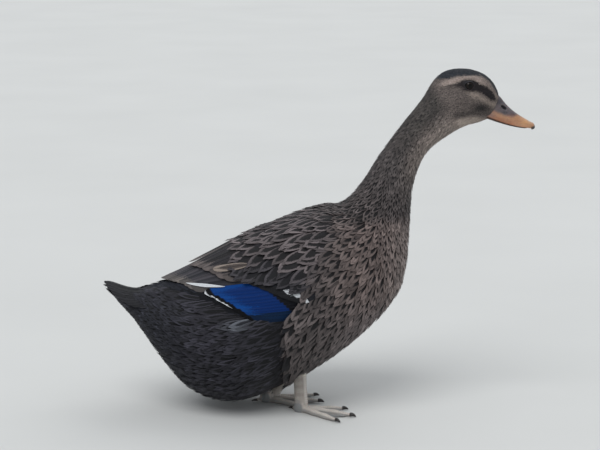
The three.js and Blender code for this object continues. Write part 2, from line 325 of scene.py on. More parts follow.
def fleshTree():
    # the flesh nodes as one form to measure
    form = bmesh.new()
    for name in fleshNodes + ["eye_left", "eye_right"]:
        form.from_mesh(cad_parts[name].data)
    flesh = melted(form, skinPlan["voxel"])
    tree = BVHTree.FromObject(flesh, bpy.context.evaluated_depsgraph_get())
    bpy.data.objects.remove(flesh)
    return tree


def softened(values, rounds, ends):
    # each row averaged with its neighbours again and again
    for _ in range(rounds):
        wide = np.pad(values, ((0, 0), (1, 1)), ends)
        values = (wide[:, :-2] + 2 * values + wide[:, 2:]) / 4
    return values


def girth(points):
    return (np.roll(points, -1, 1) - np.roll(points, 1, 1)) / 2


def outward(points):
    return unit(np.cross(np.gradient(points, axis=0), girth(points)))


def skinForm():
    plan = skinPlan
    fine = np.linspace(0, len(plan["stations"]) - 1, 4000)
    edges = spline(plan["stations"], fine)
    middle = (edges[:, :2] + edges[:, 2:]) / 2
    paced = np.linalg.norm(np.diff(middle, axis=0), axis=1) / spline(plan["ringGap"], fine)[1:, 0]
    paced = np.concatenate([[0], np.cumsum(paced)])
    rings = int(paced[-1])
    station = np.interp(np.linspace(0, paced[-1], rings), paced, fine)
    edges = spline(plan["stations"], station) * mm
    upper = np.stack([edges[:, 0], np.zeros(rings), edges[:, 1]], -1)
    lower = np.stack([edges[:, 2], np.zeros(rings), edges[:, 3]], -1)
    centre = (upper + lower) / 2
    up = unit(upper - lower)
    turn = np.arange(plan["around"]) / plan["around"] * 2 * math.pi
    spokes = up[:, None] * np.cos(turn)[:, None] + np.array([0, 1, 0]) * np.sin(turn)[:, None]
    tree = fleshTree()
    reach = np.array([[tree.ray_cast(centre[i], spokes[i, j])[3] or 0 for j in range(plan["around"])]
                      for i in range(rings)])
    reach = softened(softened(reach, 9, "wrap").T, 3, "edge").T
    points = centre[:, None] + spokes * reach[..., None]
    out = outward(points)
    for x, z, radius, height in plan["headForms"]:
        far = np.hypot(points[..., 0] - eye["x"] - x * mm, points[..., 2] - eye["z"] - z * mm)
        raised = hill(far, radius * mm) * height * mm * ramp(abs(out[..., 1]), 0.3, 0.8)
        points = points + out * raised[..., None]
    coat = spline(plan["coat"], station)[:, 0] * mm
    points = points - out * coat[:, None, None]
    return {"station": station, "points": points, "coat": coat, "along": np.gradient(points, axis=0),
            "girth": girth(points), "out": outward(points)}


skin = skinForm()
around = skinPlan["around"]
rings = len(skin["station"])
print("skin rings", rings)


def read(field, place):
    # a field of the skin at fractional ring and turn numbers
    ring = np.clip(place[..., 0], 0, rings - 1.001)
    turn = place[..., 1] % around
    i, j = ring.astype(int), np.minimum(turn.astype(int), around - 1)
    f, g = (ring - i)[..., None], (turn - j)[..., None]
    k = (j + 1) % around
    return ((field[i, j] * (1 - f) + field[i + 1, j] * f) * (1 - g)
            + (field[i, k] * (1 - f) + field[i + 1, k] * f) * g)


def atRing(name, place):
    # a value that changes only from ring to ring
    return np.interp(place[..., 0], np.arange(rings), skin[name])


def pointAt(place):
    # a point of the skin, carried on in a straight line past its two ends
    past = place[..., 0] - np.clip(place[..., 0], 0, rings - 1.001)
    return read(skin["points"], place) + read(skin["along"], place) * past[..., None]


def stepped(place, direction, distance):
    # the place a distance away over the skin in a direction
    ahead, across = read(skin["along"], place), read(skin["girth"], place)
    aa, rr, ar = dot(ahead, ahead), dot(across, across), dot(ahead, across)
    da, dr = dot(ahead, direction), dot(across, direction)
    spread = np.maximum(aa * rr - ar * ar, 1e-16)
    move = np.concatenate([da * rr - dr * ar, dr * aa - da * ar], -1) / spread
    return place + move * distance[..., None]


# the markings, shared by the skin and the coat
plumage = {
    # centre of the feather, edge, width of the edge, darkness of the shaft line
    "crown": ("1f2329", "383c43", 0.5, 0.4),
    "browStripe": ("998b83", "b9a9a0", 0.5, 0.1),
    "eyeStripe": ("1c191b", "322c2e", 0.45, 0.3),
    "paleStripe": ("867a72", "a2958b", 0.5, 0.1),
    "cheek": ("443d3b", "7c726d", 0.65, 0.5),
    "malar": ("262324", "3b3837", 0.5, 0.4),
    "throat": ("9c8e85", "c2b3a8", 0.7, 0.1),
    "breastFront": ("272120", "988a85", 0.74, 0.35),
    "covert": ("131317", "39383e", 0.3, 0.3),
    "neckBack": ("292729", "58534f", 0.6, 0.5),
    "neckFront": ("4e4744", "a99c94", 0.72, 0.4),
    "neckLow": ("211f20", "5e5857", 0.6, 0.5),
    "breast": ("191617", "7d6f6b", 0.62, 0.4),
    "breastLow": ("1d1a1a", "7f7473", 0.68, 0.4),
    "mantle": ("161415", "625a59", 0.34, 0.3),
    "shoulder": ("1a1819", "736a6b", 0.31, 0.3),
    "flank": ("171516", "625a59", 0.48, 0.4),
    # the belly behind the breast feathers: its own dark colour, made darker still with painted shade on the
    # underside
    "rearBellyWithPaintedShade": ("08080b", "33323a", 0.5, 0.5),
    "rump": ("0a0b0f", "202227", 0.4, 0.4),
    "underTail": ("050507", "303139", 0.34, 0.4),
    # painted shade: near black, laid where shadow falls behind the breast feathers and in the fold between
    # neck and shoulder
    "gap": ("030304", "111116", 0.4, 0.4),
    "paleWisp": ("2b2d35", "959ba4", 0.6, 0.2),
}
plumageValues = {name: np.concatenate([linear(centre), linear(edge), [width, shaft]])
                 for name, (centre, edge, width, shaft) in plumage.items()}
# lines across the side view, x then z in mm
borders = {
    "crown": ((132, 141, 151, 160, 169, 177, 183, 187, 192, 197),
              (366, 366.4, 368.7, 369.2, 369, 367.7, 364.9, 360.5, 353, 345)),
    "brow": ((131, 139, 149, 156, 164, 169, 175, 181.5, 186, 190.6, 193),
             (359, 360.3, 361.5, 364, 365.2, 364, 360.8, 358, 354.6, 349, 343.4)),
    "eyeStripe": ((139, 148, 156, 162, 168, 175, 181.4, 186, 191),
                  (357.2, 357.9, 358.3, 354.6, 353.8, 352.8, 348.3, 344, 342.8)),
    "paleStripe": ((164, 172.6, 181.5, 188.5), (352, 348, 343.4, 338.4)),
    "throat": ((118, 132, 154, 170, 186), (308, 321, 325, 327, 324)),
    "wingLower": ((-190, -138, -102, -59, -32, -18), (139, 149, 150, 153, 148, 142)),
    "wingBottom": ((-205, -186, -154, -109, -88, -66, -34, -23, -18),
                   (136, 137, 139, 132, 120, 119, 122, 131, 139)),
}
# lines down the side view, z then x in mm: the front of the folded wing, and of the dark belly, whose
# darkness is partly painted shade
fronts = {
    "wing": ((142, 155, 180, 213, 229), (-18.5, -10, 3, 14, 31)),
    "curtain": ((5, 84, 118, 131, 143), (-37, -38, -34, -27, -18)),
}


def markings(point, place, waver):
    # eight numbers for each feather: centre colour, edge colour, edge width and shaft line
    x, z = point[..., 0] / mm, point[..., 2] / mm
    x = x + waver * rng.normal(size=x.shape)
    z = z + waver * rng.normal(size=x.shape)
    station = atRing("station", place)
    below = abs((place[..., 1] / around + 0.5) % 1 - 0.5) * 360  # degrees round from the top

    def spot(centreX, centreZ, wide, high, power=2):
        return np.exp(-((x - centreX) / wide) ** power - ((z - centreZ) / high) ** power)

    over = {name: z - np.interp(x, *line) for name, line in borders.items()}
    ahead = {name: x - np.interp(z, *line) for name, line in fronts.items()}
    onHead = ramp(station, 11.4, 12.2)
    onNeck = ramp(station, 7.6, 9.2)
    onWing = ramp(ahead["wing"], 3, -5)
    onBelly = ramp(ahead["curtain"], 2, -2)
    layers = [
        ("breastLow", ramp(z, 150, 90)),
        ("breastFront", ramp(x, 62, 96) * ramp(z, 85, 120) * ramp(z, 240, 215)),
        ("flank", ramp(x, 45, -10)),
        # the rear belly, darkened partly with painted shade
        ("rearBellyWithPaintedShade", onBelly),
        ("paleWisp", spot(-89, 112.5, 8, 6) * 0.9),
        # painted shadow on the belly just behind the hanging breast feathers
        ("gap", onBelly * ramp(ahead["curtain"], -16, -5) * ramp(z, 125, 105) * 0.7),
        ("underTail", ramp(x, -125, -175) * ramp(z, 135, 120)),
        ("shoulder", onWing * ramp(over["wingLower"], -3, 3)),
        ("covert", onWing * ramp(over["wingLower"], -3, 1) * ramp(over["wingLower"], 25, 9)
         * ramp(x, -105, -85) * 0.85),
        ("rump", ramp(x, -110, -150) * ramp(over["wingLower"], -6, 4)),
        ("mantle", ramp(z, 205, 222) * ramp(x, -30, 10)),
        ("neckLow", onNeck * ramp(station, 10.6, 9)),
        # painted shade in the fold between neck and shoulder
        ("gap", hill(x - 46 - (z - 215) * 0.45, 3.2) * ramp(z, 190, 202) * ramp(z, 228, 218) * 0.75),
        ("neckBack", ramp(station, 8.8, 10.4) * ramp(below, 130, 60)),
        ("neckFront", ramp(station, 8.2, 10.4) * ramp(below, 70, 140)),
        ("cheek", onHead),
        ("throat", onHead * ramp(over["throat"], 3, -4)),
        ("malar", onHead * spot(177, 336, 9, 5)),
        ("malar", onHead * hill(over["throat"] - 4, 2.6) * ramp(x, 138, 152) * ramp(x, 178, 168) * 0.45),
        ("paleStripe", onHead * hill(over["paleStripe"], 3.6) * ramp(x, 158, 168)),
        ("browStripe", onHead * ramp(over["brow"], -1.1, 1.1) * ramp(x, 120, 138)
         * (1 - 0.6 * ramp(x, 170, 186))
         * np.maximum(ramp(abs(point[..., 1]) / mm, 9, 16), ramp(x, 150, 160))),
        ("eyeStripe", onHead * ramp(over["brow"], 1.1, -1.1) * ramp(over["eyeStripe"], -1.4, 1.4)
         * ramp(x, 138, 156)),
        ("eyeStripe", onHead * spot(162.5, 360, 7.5, 6, power=4)),
        ("crown", ramp(station, 11, 12.2) * ramp(over["crown"], -1.3, 1.3)),
    ]
    values = np.broadcast_to(plumageValues["breast"], x.shape + (8,))
    for name, share in layers:
        values = blend(values, plumageValues[name], share[..., None])
    return values


def downMaterial():
    # down: loose barbs with no hooks, grown between the feathers' roots. It is soft and fully matt. Its
    # colour is darkened by a mottle, partly the fluff's own tone and partly painted shade that keeps the gaps
    # in the coat dark.
    material, node = newMaterial("plumageDown")
    colour = node("Attribute", attribute_name="heart")["Color"]
    where = node("TexCoord")["Object"]
    fluff = node("TexNoise", {"Vector": where, "Scale": 0.9 / mm, "Detail": 4, "Roughness": 0.7})["Fac"]
    # the mottle darkens the colour: the fluff's own tone and painted shade in the gaps of the coat
    shade = node("MapRange", {"Value": fluff, "To Min": 0.35, "To Max": 1})[0]
    tint = node("MixRGB", {"Fac": 1, "Color1": colour, "Color2": shade}, blend_type="MULTIPLY")[0]
    bump = node("Bump", {"Height": fluff, "Strength": 0.6, "Distance": 0.8 * mm})[0]
    rough = node("MapRange", {"Value": fluff, "To Min": 0.75, "To Max": 0.95})[0]
    shader = node("BsdfPrincipled", {"Base Color": tint, "Roughness": rough, "Normal": bump})
    node("OutputMaterial", {"Surface": shader[0]})
    return material


grid = np.stack(np.meshgrid(np.arange(rings), np.arange(around), indexing="ij"), -1).astype(float)
skinColour = markings(skin["points"], grid, 0)[..., :3]
ringPiece("skin", skin["points"], downMaterial(), skinColour, "body_plumage", *fleshNodes)

coatPlan = {
    # along the stations of the skin, in mm
    "length": [16, 20, 26, 32, 37, 37, 30, 23, 16, 12, 10, 8.6, 7, 5.8, 5, 4.4, 3.6, 2.4],
    "gap": [4, 4.4, 5.2, 6.4, 7.6, 7.6, 6.2, 5.0, 3.6, 2.8, 2.3, 2.0, 1.7, 1.4, 1.25, 1.15, 1, 0.8],
    "widthPerGap": 1.6,
    "tries": 7,  # places tried for each feather
    "closest": 0.86,  # least distance between two roots, in gaps
    # how much one feather differs from the next: shares of its length and width, and its heading in radians
    "lengthSpread": 0.09,
    "widthSpread": 0.07,
    "headingSpread": 0.1,
    "rootHeight": 0.12,  # mm over the skin
    "curtainTop": 139,  # over this height no feathers hang down before the belly
    "lieBlur": 200,  # how softly the headings below blend into each other, in square mm
    "lie": [
        # x and z in mm, and how many degrees the feathers point down from straight back, ahead of the curtain
        (55, 222, 58), (45, 195, 42), (70, 185, 62), (92, 190, 82), (35, 160, 36), (60, 140, 55),
        (85, 150, 78), (10, 125, 42), (30, 95, 48), (-12, 100, 56), (-26, 60, 66), (10, 60, 46),
        (15, 195, 32), (0, 170, 40), (-5, 220, 26), (-40, 205, 38), (-50, 180, 54), (-80, 178, 52),
        (-30, 160, 46), (-100, 170, 42), (-100, 158, 38), (-130, 160, 28), (-150, 150, 22),
    ],
}


def lieOf(place):
    # which way the feathers point: back along the body, bent on the flanks towards the marked headings
    normal = unit(read(skin["out"], place))
    lie = unit(-read(skin["along"], place))
    point = pointAt(place) / mm
    marks = np.array(coatPlan["lie"], float)
    far = (point[..., None, 0] - marks[:, 0]) ** 2 + (point[..., None, 2] - marks[:, 1]) ** 2
    weight = (far + coatPlan["lieBlur"]) ** -2
    angle = np.radians((weight * marks[:, 2]).sum(-1) / weight.sum(-1))
    wanted = np.stack([-np.cos(angle), 0 * angle, -np.sin(angle)], -1)
    front = np.interp(point[..., 2], *fronts["curtain"])
    front = np.where(point[..., 2] > coatPlan["curtainTop"], -200, front)
    share = ramp(abs(normal[..., 1]), 0.08, 0.45) * (1 - ramp(atRing("station", place), 7.6, 9))
    share = share * ramp(point[..., 0] - front, -3, 3)
    lie = unit(blend(lie, wanted, share[..., None]))
    return unit(lie - normal * dot(lie, normal)), normal


def scatter(grows, gap, drawn):
    # places spread evenly over the skin, a gap apart in metres, and drawn out along the lie
    area = np.linalg.norm(np.cross(skin["along"], skin["girth"]), axis=-1)
    weight = (area / gap ** 2 * grows)[:-1].ravel()
    tries = int(weight.sum() * coatPlan["tries"])
    cell = rng.choice(len(weight), tries, p=weight / weight.sum())
    place = np.stack([cell // around, cell % around], -1) + rng.random((tries, 2))
    points = pointAt(place)
    lie = lieOf(place)[0]
    apart = read(gap[..., None], place)[:, 0] * coatPlan["closest"]
    tree = KDTree(tries)
    for i, point in enumerate(points):
        tree.insert(point, i)
    tree.balance()
    free = np.ones(tries, bool)
    kept = []
    for i in range(tries):
        if free[i]:
            kept.append(i)
            near = np.array([j for _, j, _ in tree.find_range(points[i], apart[i] * drawn)])
            offset = points[near] - points[i]
            ahead = offset @ lie[i]
            aside = (offset ** 2).sum(1) - ahead ** 2
            free[near[(ahead / drawn) ** 2 + aside * drawn ** 2 < apart[i] ** 2]] = False
    return place[kept]


def walked(place, heading, length, rows):
    # middle lines over the skin from their roots. Heading turns them down from the lie, in radians.
    turned = heading[:, None] * np.where(place[:, 1:] > around / 2, -1, 1)
    lines, directions, last = [], [], 0
    for share in rows:
        lie, normal = lieOf(place)
        direction = lie * np.cos(turned) + np.cross(normal, lie) * np.sin(turned)
        place = stepped(place, direction, length * (share - last))
        last = share
        lines.append(place)
        directions.append(direction)
    return np.stack(lines, 1), np.stack(directions, 1)


def vanes(name, lines, directions, look):
    # feathers along middle lines on the skin. Height is each one's rise over the skin at root and tip.
    rows, columns = look["rows"], look["columns"]
    count = len(lines)
    points = np.zeros((count, len(rows), len(columns), 3))
    tilt = rng.normal(0, look["tilt"], count)
    lift = rng.normal(0, 1, count) * look["uneven"]
    length, width, height = look["length"], look["width"], look["height"]
    for row, share in enumerate(rows):
        here, direction = lines[:, row], directions[:, row]
        side = np.cross(unit(read(skin["out"], here)), direction)
        half = width / 2 * np.interp(share, look["profileAt"], look["profile"])
        rise = height[:, 0] + (height[:, 1] - height[:, 0]) * (share ** look["riseShape"] + lift * share)
        for column, across in enumerate(columns):
            spot = stepped(here, side, half * across)
            back = (look["tipRound"] * across ** 2 + look["ragged"] * rng.random(count)) * share ** 3
            # the ends of a row can be cut aslant, so that they make one line
            slant = look.get("slant", 0) * share ** 2 * across * np.sign(side[:, 2])
            spot = stepped(spot, -direction, length * back - slant * half)
            out = unit(read(skin["out"], spot))
            ridge = look.get("shaft", 0) * (1 - share * 0.6) * (abs(across) < 0.02)
            drop = look["camber"] * half * across ** 2 + tilt * half * across
            clear = np.maximum(rise - drop, np.minimum(height[:, 0], 0.3 * mm)) + ridge
            points[:, row, column] = pointAt(spot) + out * clear[:, None]
    featherPiece(name, points, lines[:, 0], look)


def featherPiece(name, points, place, look):
    # one mesh from the points of many feathers, with the maps and values its material reads
    count, rows, columns = points.shape[:3]
    each = rows * columns
    quads = np.arange(count)[:, None, None, None] * each + gridFaces(rows, columns, closed=False)
    piece = newPiece(name, points, quads, look["material"])
    v, u = np.meshgrid(look["rows"], look["columns"], indexing="ij")
    flat = np.broadcast_to(np.stack([u, v], -1), (count, rows, columns, 2))
    mapPoints(piece, "vane", flat.reshape(-1, 2) * [0.5, 1] + [0.5, 0])
    # every feather has a patch of the bake map at its root's place on the unwrapped skin
    spread = np.stack([place[:, 1] % around / around, place[:, 0] / rings], -1)
    low, high = spread.min(0), spread.max(0)
    spread = 0.01 + (spread - low) / np.maximum(high - low, 1e-6) * 0.98
    spread = spread[:, None, None, :] + (flat - [0, 0.5]) * [0.5, 1] * look["patch"]
    mapPoints(piece, "OFBake", spread.reshape(-1, 2))
    marks = look["marks"]
    shape = np.stack([marks[:, 6], marks[:, 7], rng.random(count)], -1)
    size = np.stack([look["width"] / 2 / mm, look["length"] / mm, np.zeros(count)], -1)
    values = {"heart": marks[:, :3], "edge": marks[:, 3:6], "pattern": shape, "size": size}
    for value, numbers in values.items():
        paint(piece, value, np.repeat(numbers, each, 0))
    finished(piece, look["slot"])


barb = {
    "gap": 0.9,  # mm. Real barbs are 0.3 mm apart and are drawn coarser, so that they show.
    "slant": 1.1,  # how far a barb reaches towards the tip for each mm it is off the shaft
    "relief": 0.2 * mm,
    "fray": 0.7 / mm,  # worn ends of barbs part in clumps about 1.4 mm wide
    "shaft": "101218",
}


def vaneMaterial(name, roughness=0.62, sheen=0.04, shine=0.22, bands=()):
    # a vane of keratin, grown as barbs that hook together: matt to satin, with a soft gloss along the
    # barbs, a paler fringe where they wear loose, and a dark shaft
    material, node = newMaterial(name)
    flat = node("SeparateXYZ", {0: node("UVMap", uv_map="vane")[0]})
    centred = node("Math", {0: flat["X"], 1: 2, 2: -1}, operation="MULTIPLY_ADD")[0]
    off = node("Math", {0: centred}, operation="ABSOLUTE")[0]
    toTip = node("MapRange", {"Value": flat["Y"], "From Min": 0.45})[0]
    pair = node("CombineXYZ", {"X": off, "Y": toTip})[0]
    reach = node("VectorMath", {0: pair}, operation="LENGTH")["Value"]
    where = node("TexCoord")["Object"]
    ragged = node("TexNoise", {"Vector": where, "Scale": barb["fray"], "Detail": 2})["Fac"]
    reach = node("Math", {0: ragged, 1: 0.45, 2: reach}, operation="MULTIPLY_ADD")[0]
    pattern = node("SeparateXYZ", {0: node("Attribute", attribute_name="pattern")["Vector"]})
    inner = node("Math", {0: 1.2, 1: pattern["X"]}, operation="SUBTRACT")[0]
    outer = node("Math", {0: pattern["X"], 1: 0.55, 2: inner}, operation="MULTIPLY_ADD")[0]
    fringe = node("MapRange", {"Value": reach, "From Min": inner, "From Max": outer},
                  interpolation_type="SMOOTHSTEP")[0]
    strength = node("MapRange", {"Value": pattern["Z"], "To Min": 0.5, "To Max": 1})[0]
    fringe = node("Math", {0: fringe, 1: strength}, operation="MULTIPLY")[0]
    heart = node("Attribute", attribute_name="heart")["Color"]
    edge = node("Attribute", attribute_name="edge")["Color"]
    colour = node("MixRGB", {"Fac": fringe, "Color1": heart, "Color2": edge})[0]
    for start, end, hexColour in bands:
        # a band of another colour across the feather, from one share of its length to another
        height = node("Math", {0: ragged, 1: 0.02, 2: flat["Y"]}, operation="MULTIPLY_ADD")[0]
        inside = node("MapRange", {"Value": height, "From Min": start, "From Max": start + 0.02})[0]
        beyond = node("MapRange", {"Value": height, "From Min": end, "From Max": end + 0.02})[0]
        share = node("Math", {0: inside, 1: beyond}, operation="SUBTRACT")[0]
        colour = node("MixRGB", {"Fac": share, "Color1": colour, "Color2": opaque(hexColour)})[0]
    line = node("MapRange", {"Value": off, "From Max": 0.3, "To Min": pattern["Y"], "To Max": 0},
                interpolation_type="SMOOTHSTEP")[0]
    colour = node("MixRGB", {"Fac": line, "Color1": colour, "Color2": opaque(barb["shaft"])})[0]
    # barbs slant out from the shaft
    size = node("SeparateXYZ", {0: node("Attribute", attribute_name="size")["Vector"]})
    toTipMm = node("Math", {0: flat["Y"], 1: size["Y"]}, operation="MULTIPLY")[0]
    acrossMm = node("Math", {0: off, 1: size["X"]}, operation="MULTIPLY")[0]
    slant = node("Math", {0: acrossMm, 1: -barb["slant"], 2: toTipMm}, operation="MULTIPLY_ADD")[0]
    phase = node("Math", {0: slant, 1: 2 * math.pi / barb["gap"]}, operation="MULTIPLY")[0]
    barbs = node("Math", {0: phase}, operation="SINE")[0]
    shade = node("MapRange", {"Value": barbs, "From Min": -1, "To Min": 0.82, "To Max": 1.12})[0]
    rough = {"Value": ragged, "To Min": roughness - 0.1, "To Max": roughness + 0.12}
    shader = node("BsdfPrincipled", {
        "Base Color": node("MixRGB", {"Fac": 1, "Color1": colour, "Color2": shade}, blend_type="MULTIPLY")[0],
        "Roughness": node("MapRange", rough)[0],
        "Normal": node("Bump", {"Height": barbs, "Strength": 0.35, "Distance": barb["relief"]})[0],
        "Sheen Weight": sheen, "Sheen Roughness": 0.5, "Specular IOR Level": shine,
    })
    node("OutputMaterial", {"Surface": shader[0]})
    return material


softVane = vaneMaterial("contourFeather")
contour = {
    # a feather by shares of its length and width, and its size and spread by those of the coat plan
    "rows": [0, 0.25, 0.5, 0.72, 0.88, 1],
    "columns": [-1, -0.5, 0, 0.5, 1],
    "profileAt": [0, 0.25, 0.5, 0.75, 0.9, 1],
    "profile": [0.35, 0.82, 1, 0.92, 0.66, 0.3],
    "tipRound": 0.06, "ragged": 0.05, "camber": 0.1, "tilt": 0.03, "uneven": 0.05, "riseShape": 0.8,
    "scale": 1, "stretch": 1, "drawn": 1.25, "broad": 1,
    "tone": 0.18,  # how much one feather is darker than another
    "waver": 1.5,  # how far in mm the borders of the markings are broken up
    "patch": 0.003,
    "material": softVane,
}
coat = {
    "headFeathers": dict(
        contour, slot="head_plumage", scale=0.74, stretch=1.3, waver=0.5, tone=0.13, tipRound=0, ragged=0.1,
        rows=[0, 0.4, 0.75, 1], columns=[-1, 0, 1], profileAt=[0, 0.4, 0.75, 1], profile=[0.4, 1, 0.75, 0.2]),
    "neckFeathers": dict(
        contour, slot="neck_plumage", scale=0.86, stretch=1.35, waver=1, drawn=1.5, broad=0.85, tipRound=0.03,
        ragged=0.08, rows=[0, 0.3, 0.6, 0.85, 1], columns=[-1, -0.4, 0.4, 1],
        profileAt=[0, 0.3, 0.6, 0.85, 1], profile=[0.4, 0.9, 1, 0.7, 0.25]),
    "breastFeathers": dict(contour, slot="body_plumage", scale=0.9, stretch=1.1),
    "shoulderFeathers": dict(
        contour, slot="shoulder_plumage", scale=1.2, drawn=1.55, broad=0.9, tipRound=0.07, ragged=0.03,
        camber=0.12, rows=[0, 0.2, 0.4, 0.6, 0.78, 0.92, 1], columns=[-1, -0.6, 0, 0.6, 1],
        profileAt=[0, 0.2, 0.4, 0.6, 0.8, 0.92, 1], profile=[0.3, 0.7, 0.95, 1, 0.85, 0.58, 0.25]),
    "bellyFeathers": dict(
        contour, slot="body_plumage", scale=0.6, stretch=1.5, tone=0.3, drawn=1.5, broad=0.85),
    "rumpFeathers": dict(contour, slot="tail_plumage", scale=0.9),
}
fields = {name: spline(coatPlan[name], skin["station"])[:, 0][:, None] * mm + np.zeros((rings, around))
          for name in ("length", "gap")}


def tract(name, grows, stop=None, rise=None):
    # one region of the coat: where it grows, which places its feathers stop short of, how high tips stand
    look = dict(coat[name])
    gap = fields["gap"] * look["scale"]
    place = scatter(grows, gap, look["drawn"])
    count = len(place)
    spacing = read(gap[..., None], place)[:, 0]
    length = read(fields["length"][..., None] * look["scale"] * look["stretch"], place)[:, 0]
    length = length * rng.normal(1, coatPlan["lengthSpread"], count).clip(0.75, 1.25)
    width = spacing * coatPlan["widthPerGap"] * look["broad"]
    width = width * rng.normal(1, coatPlan["widthSpread"], count).clip(0.8, 1.2)
    heading = rng.normal(0, coatPlan["headingSpread"], count)
    rows = np.array(look["rows"])
    lines, directions = walked(place, heading, length, rows)
    if stop:
        # shorter ones end at the border, and those with no room are left out
        barred = stop(pointAt(lines))
        first = np.where(barred.any(1), barred.argmax(1), len(rows) - 1)
        room = np.where(barred.any(1), rows[np.maximum(first - 1, 0)] + 0.06, 1)
        kept = room > 0.5
        place, heading, length, width = place[kept], heading[kept], (length * room)[kept], width[kept]
        count = len(place)
        lines, directions = walked(place, heading, length, rows)
    shown = (lines[:, -2] + lines[:, -3]) / 2
    point = pointAt(shown)
    tip = atRing("coat", place) + 0.1 * mm
    if rise:
        tip = rise(point, tip)
    marks = markings(point, shown, look["waver"]).copy()
    marks[:, :6] *= np.exp(rng.normal(0, look["tone"], (count, 1)))
    look.update(length=length, width=width, marks=marks,
                height=np.stack([0 * tip + coatPlan["rootHeight"] * mm, tip], -1))
    vanes(name, lines, directions, look)


def above(point, border):
    # how far a point stands over a line of the side view, in mm
    return point[..., 2] / mm - np.interp(point[..., 0] / mm, *borders[border])


def lead(point, front):
    # how far a point is ahead of a line down the side view, in mm
    return point[..., 0] / mm - np.interp(point[..., 2] / mm, *fronts[front])


def onPanel(point, margin=0.0):
    # the part of the folded wing that no shoulder or breast feather covers
    return ((above(point, "wingLower") < -margin) & (above(point, "wingBottom") > margin)
            & (lead(point, "wing") < -margin))


def breastRise(point, tip):
    # the breast feathers stand off a little where they end over the dark belly
    return tip + 1.6 * mm * hill(lead(point, "curtain") - 2, 16) * (point[:, 2] < 0.125)


def shoulderRise(point, tip):
    # over the wing they stand up at the sides and behind, to cover the roots of the long ones
    behind = 1 - ramp(lead(point, "wing"), -20, 0)
    over = np.maximum(ramp(abs(point[:, 1]) / mm, 20, 45), ramp(-point[:, 0] / mm, 35, 75))
    return tip + 3 * mm * behind * over


def shoulderStop(line):
    x, z = line[..., 0] / mm, line[..., 2] / mm
    return ((above(line, "wingLower") < -1) & (lead(line, "wing") < 6)
            | (x < -90 - 10 * ramp(z, 155, 190) + rng.normal(0, 5, (len(line), 1))))


def bellyRise(point, tip):
    return tip * (0.3 + 0.7 * ramp(-lead(point, "curtain"), 8, 60))


x = skin["points"][..., 0] / mm
station = skin["station"][:, None] + 0 * x
aheadOfWing, aheadOfCurtain = lead(skin["points"], "wing"), lead(skin["points"], "curtain")
overWing, overBottom = above(skin["points"], "wingLower"), above(skin["points"], "wingBottom")
tract("headFeathers", station > 11.7)
tract("neckFeathers", (station > 8.1) & (station <= 11.7))
tract("breastFeathers", (station <= 8.1) & (aheadOfWing > -5) & (aheadOfCurtain > -2), rise=breastRise,
      stop=lambda line: (lead(line, "curtain") < -4) | onPanel(line))
tract("shoulderFeathers", (x > -63) & (x < 40) & (overWing > 8) & (aheadOfWing < 12), rise=shoulderRise,
      stop=shoulderStop)
tract("bellyFeathers", (aheadOfCurtain < 30) & (overWing < -12), rise=bellyRise,
      stop=lambda line: onPanel(line, 1))
tract("rumpFeathers", (x < -95) & (overBottom > -14), rise=lambda point, tip: tip * 0.5,
      stop=lambda line: onPanel(line, 0.5))
print("small feathers laid")

# flight, cover and tail feathers are laid one by one
skinTree = BVHTree.FromPolygons(skin["points"].reshape(-1, 3).tolist(),
                                gridFaces(rings, around).reshape(-1, 4).tolist())


def placeOf(spot, sign):
    # a place on one flank: seen from that side at x and z in mm, or nearest to x, y and z
    hit = None
    if len(spot) == 2:
        hit, _, face, _ = skinTree.ray_cast((spot[0] * mm, sign * 0.3, spot[1] * mm), (0, -sign, 0))
        spot = (spot[0], 4, spot[1])
    if hit is None:
        hit, _, face, _ = skinTree.find_nearest((spot[0] * mm, sign * spot[1] * mm, spot[2] * mm))
    corner = np.array(divmod(face, around), float)
    steps = np.stack([read(skin["along"], corner), read(skin["girth"], corner)], -1)
    shares = np.linalg.lstsq(steps, np.array(hit) - pointAt(corner), rcond=None)[0]
    return corner + shares.clip(0, 1)


def laid(name, feathers, **settings):
    # the same feathers on both sides: each has its root and tip in mm, in the side view or in the round,
    # how far its middle sags, its width, and its rise over the skin at root and tip, in mm
    look = dict(quill, **settings)
    lines, sizes, marks = [], [], []
    for sign in (-1, 1):
        for feather in feathers:
            root = feather["root"] + rng.normal(0, look["rootSpread"], len(feather["root"]))
            tip = feather["tip"] + rng.normal(0, look["tipSpread"], len(feather["tip"]))
            middle = (root + tip) / 2
            middle[-1] -= feather.get("sag", 0)
            curve = [root * (1 - share) ** 2 + middle * 2 * share * (1 - share) + tip * share ** 2
                     for share in look["rows"]]
            lines.append([placeOf(spot, sign) for spot in curve])
            sizes.append((feather["width"], *feather["rise"]))
            marks.append(np.concatenate([linear(feather["heart"]), linear(feather["edge"]),
                                         [feather.get("edgeWidth", 0.15), feather.get("shaftLine", 0.4)]]))
    lines, sizes = np.array(lines), np.array(sizes) * mm
    points = pointAt(lines)
    look.update(length=np.linalg.norm(np.diff(points, axis=1), axis=-1).sum(1), width=sizes[:, 0],
                height=sizes[:, 1:], marks=np.array(marks))
    vanes(name, lines, unit(np.gradient(points, axis=1)), look)


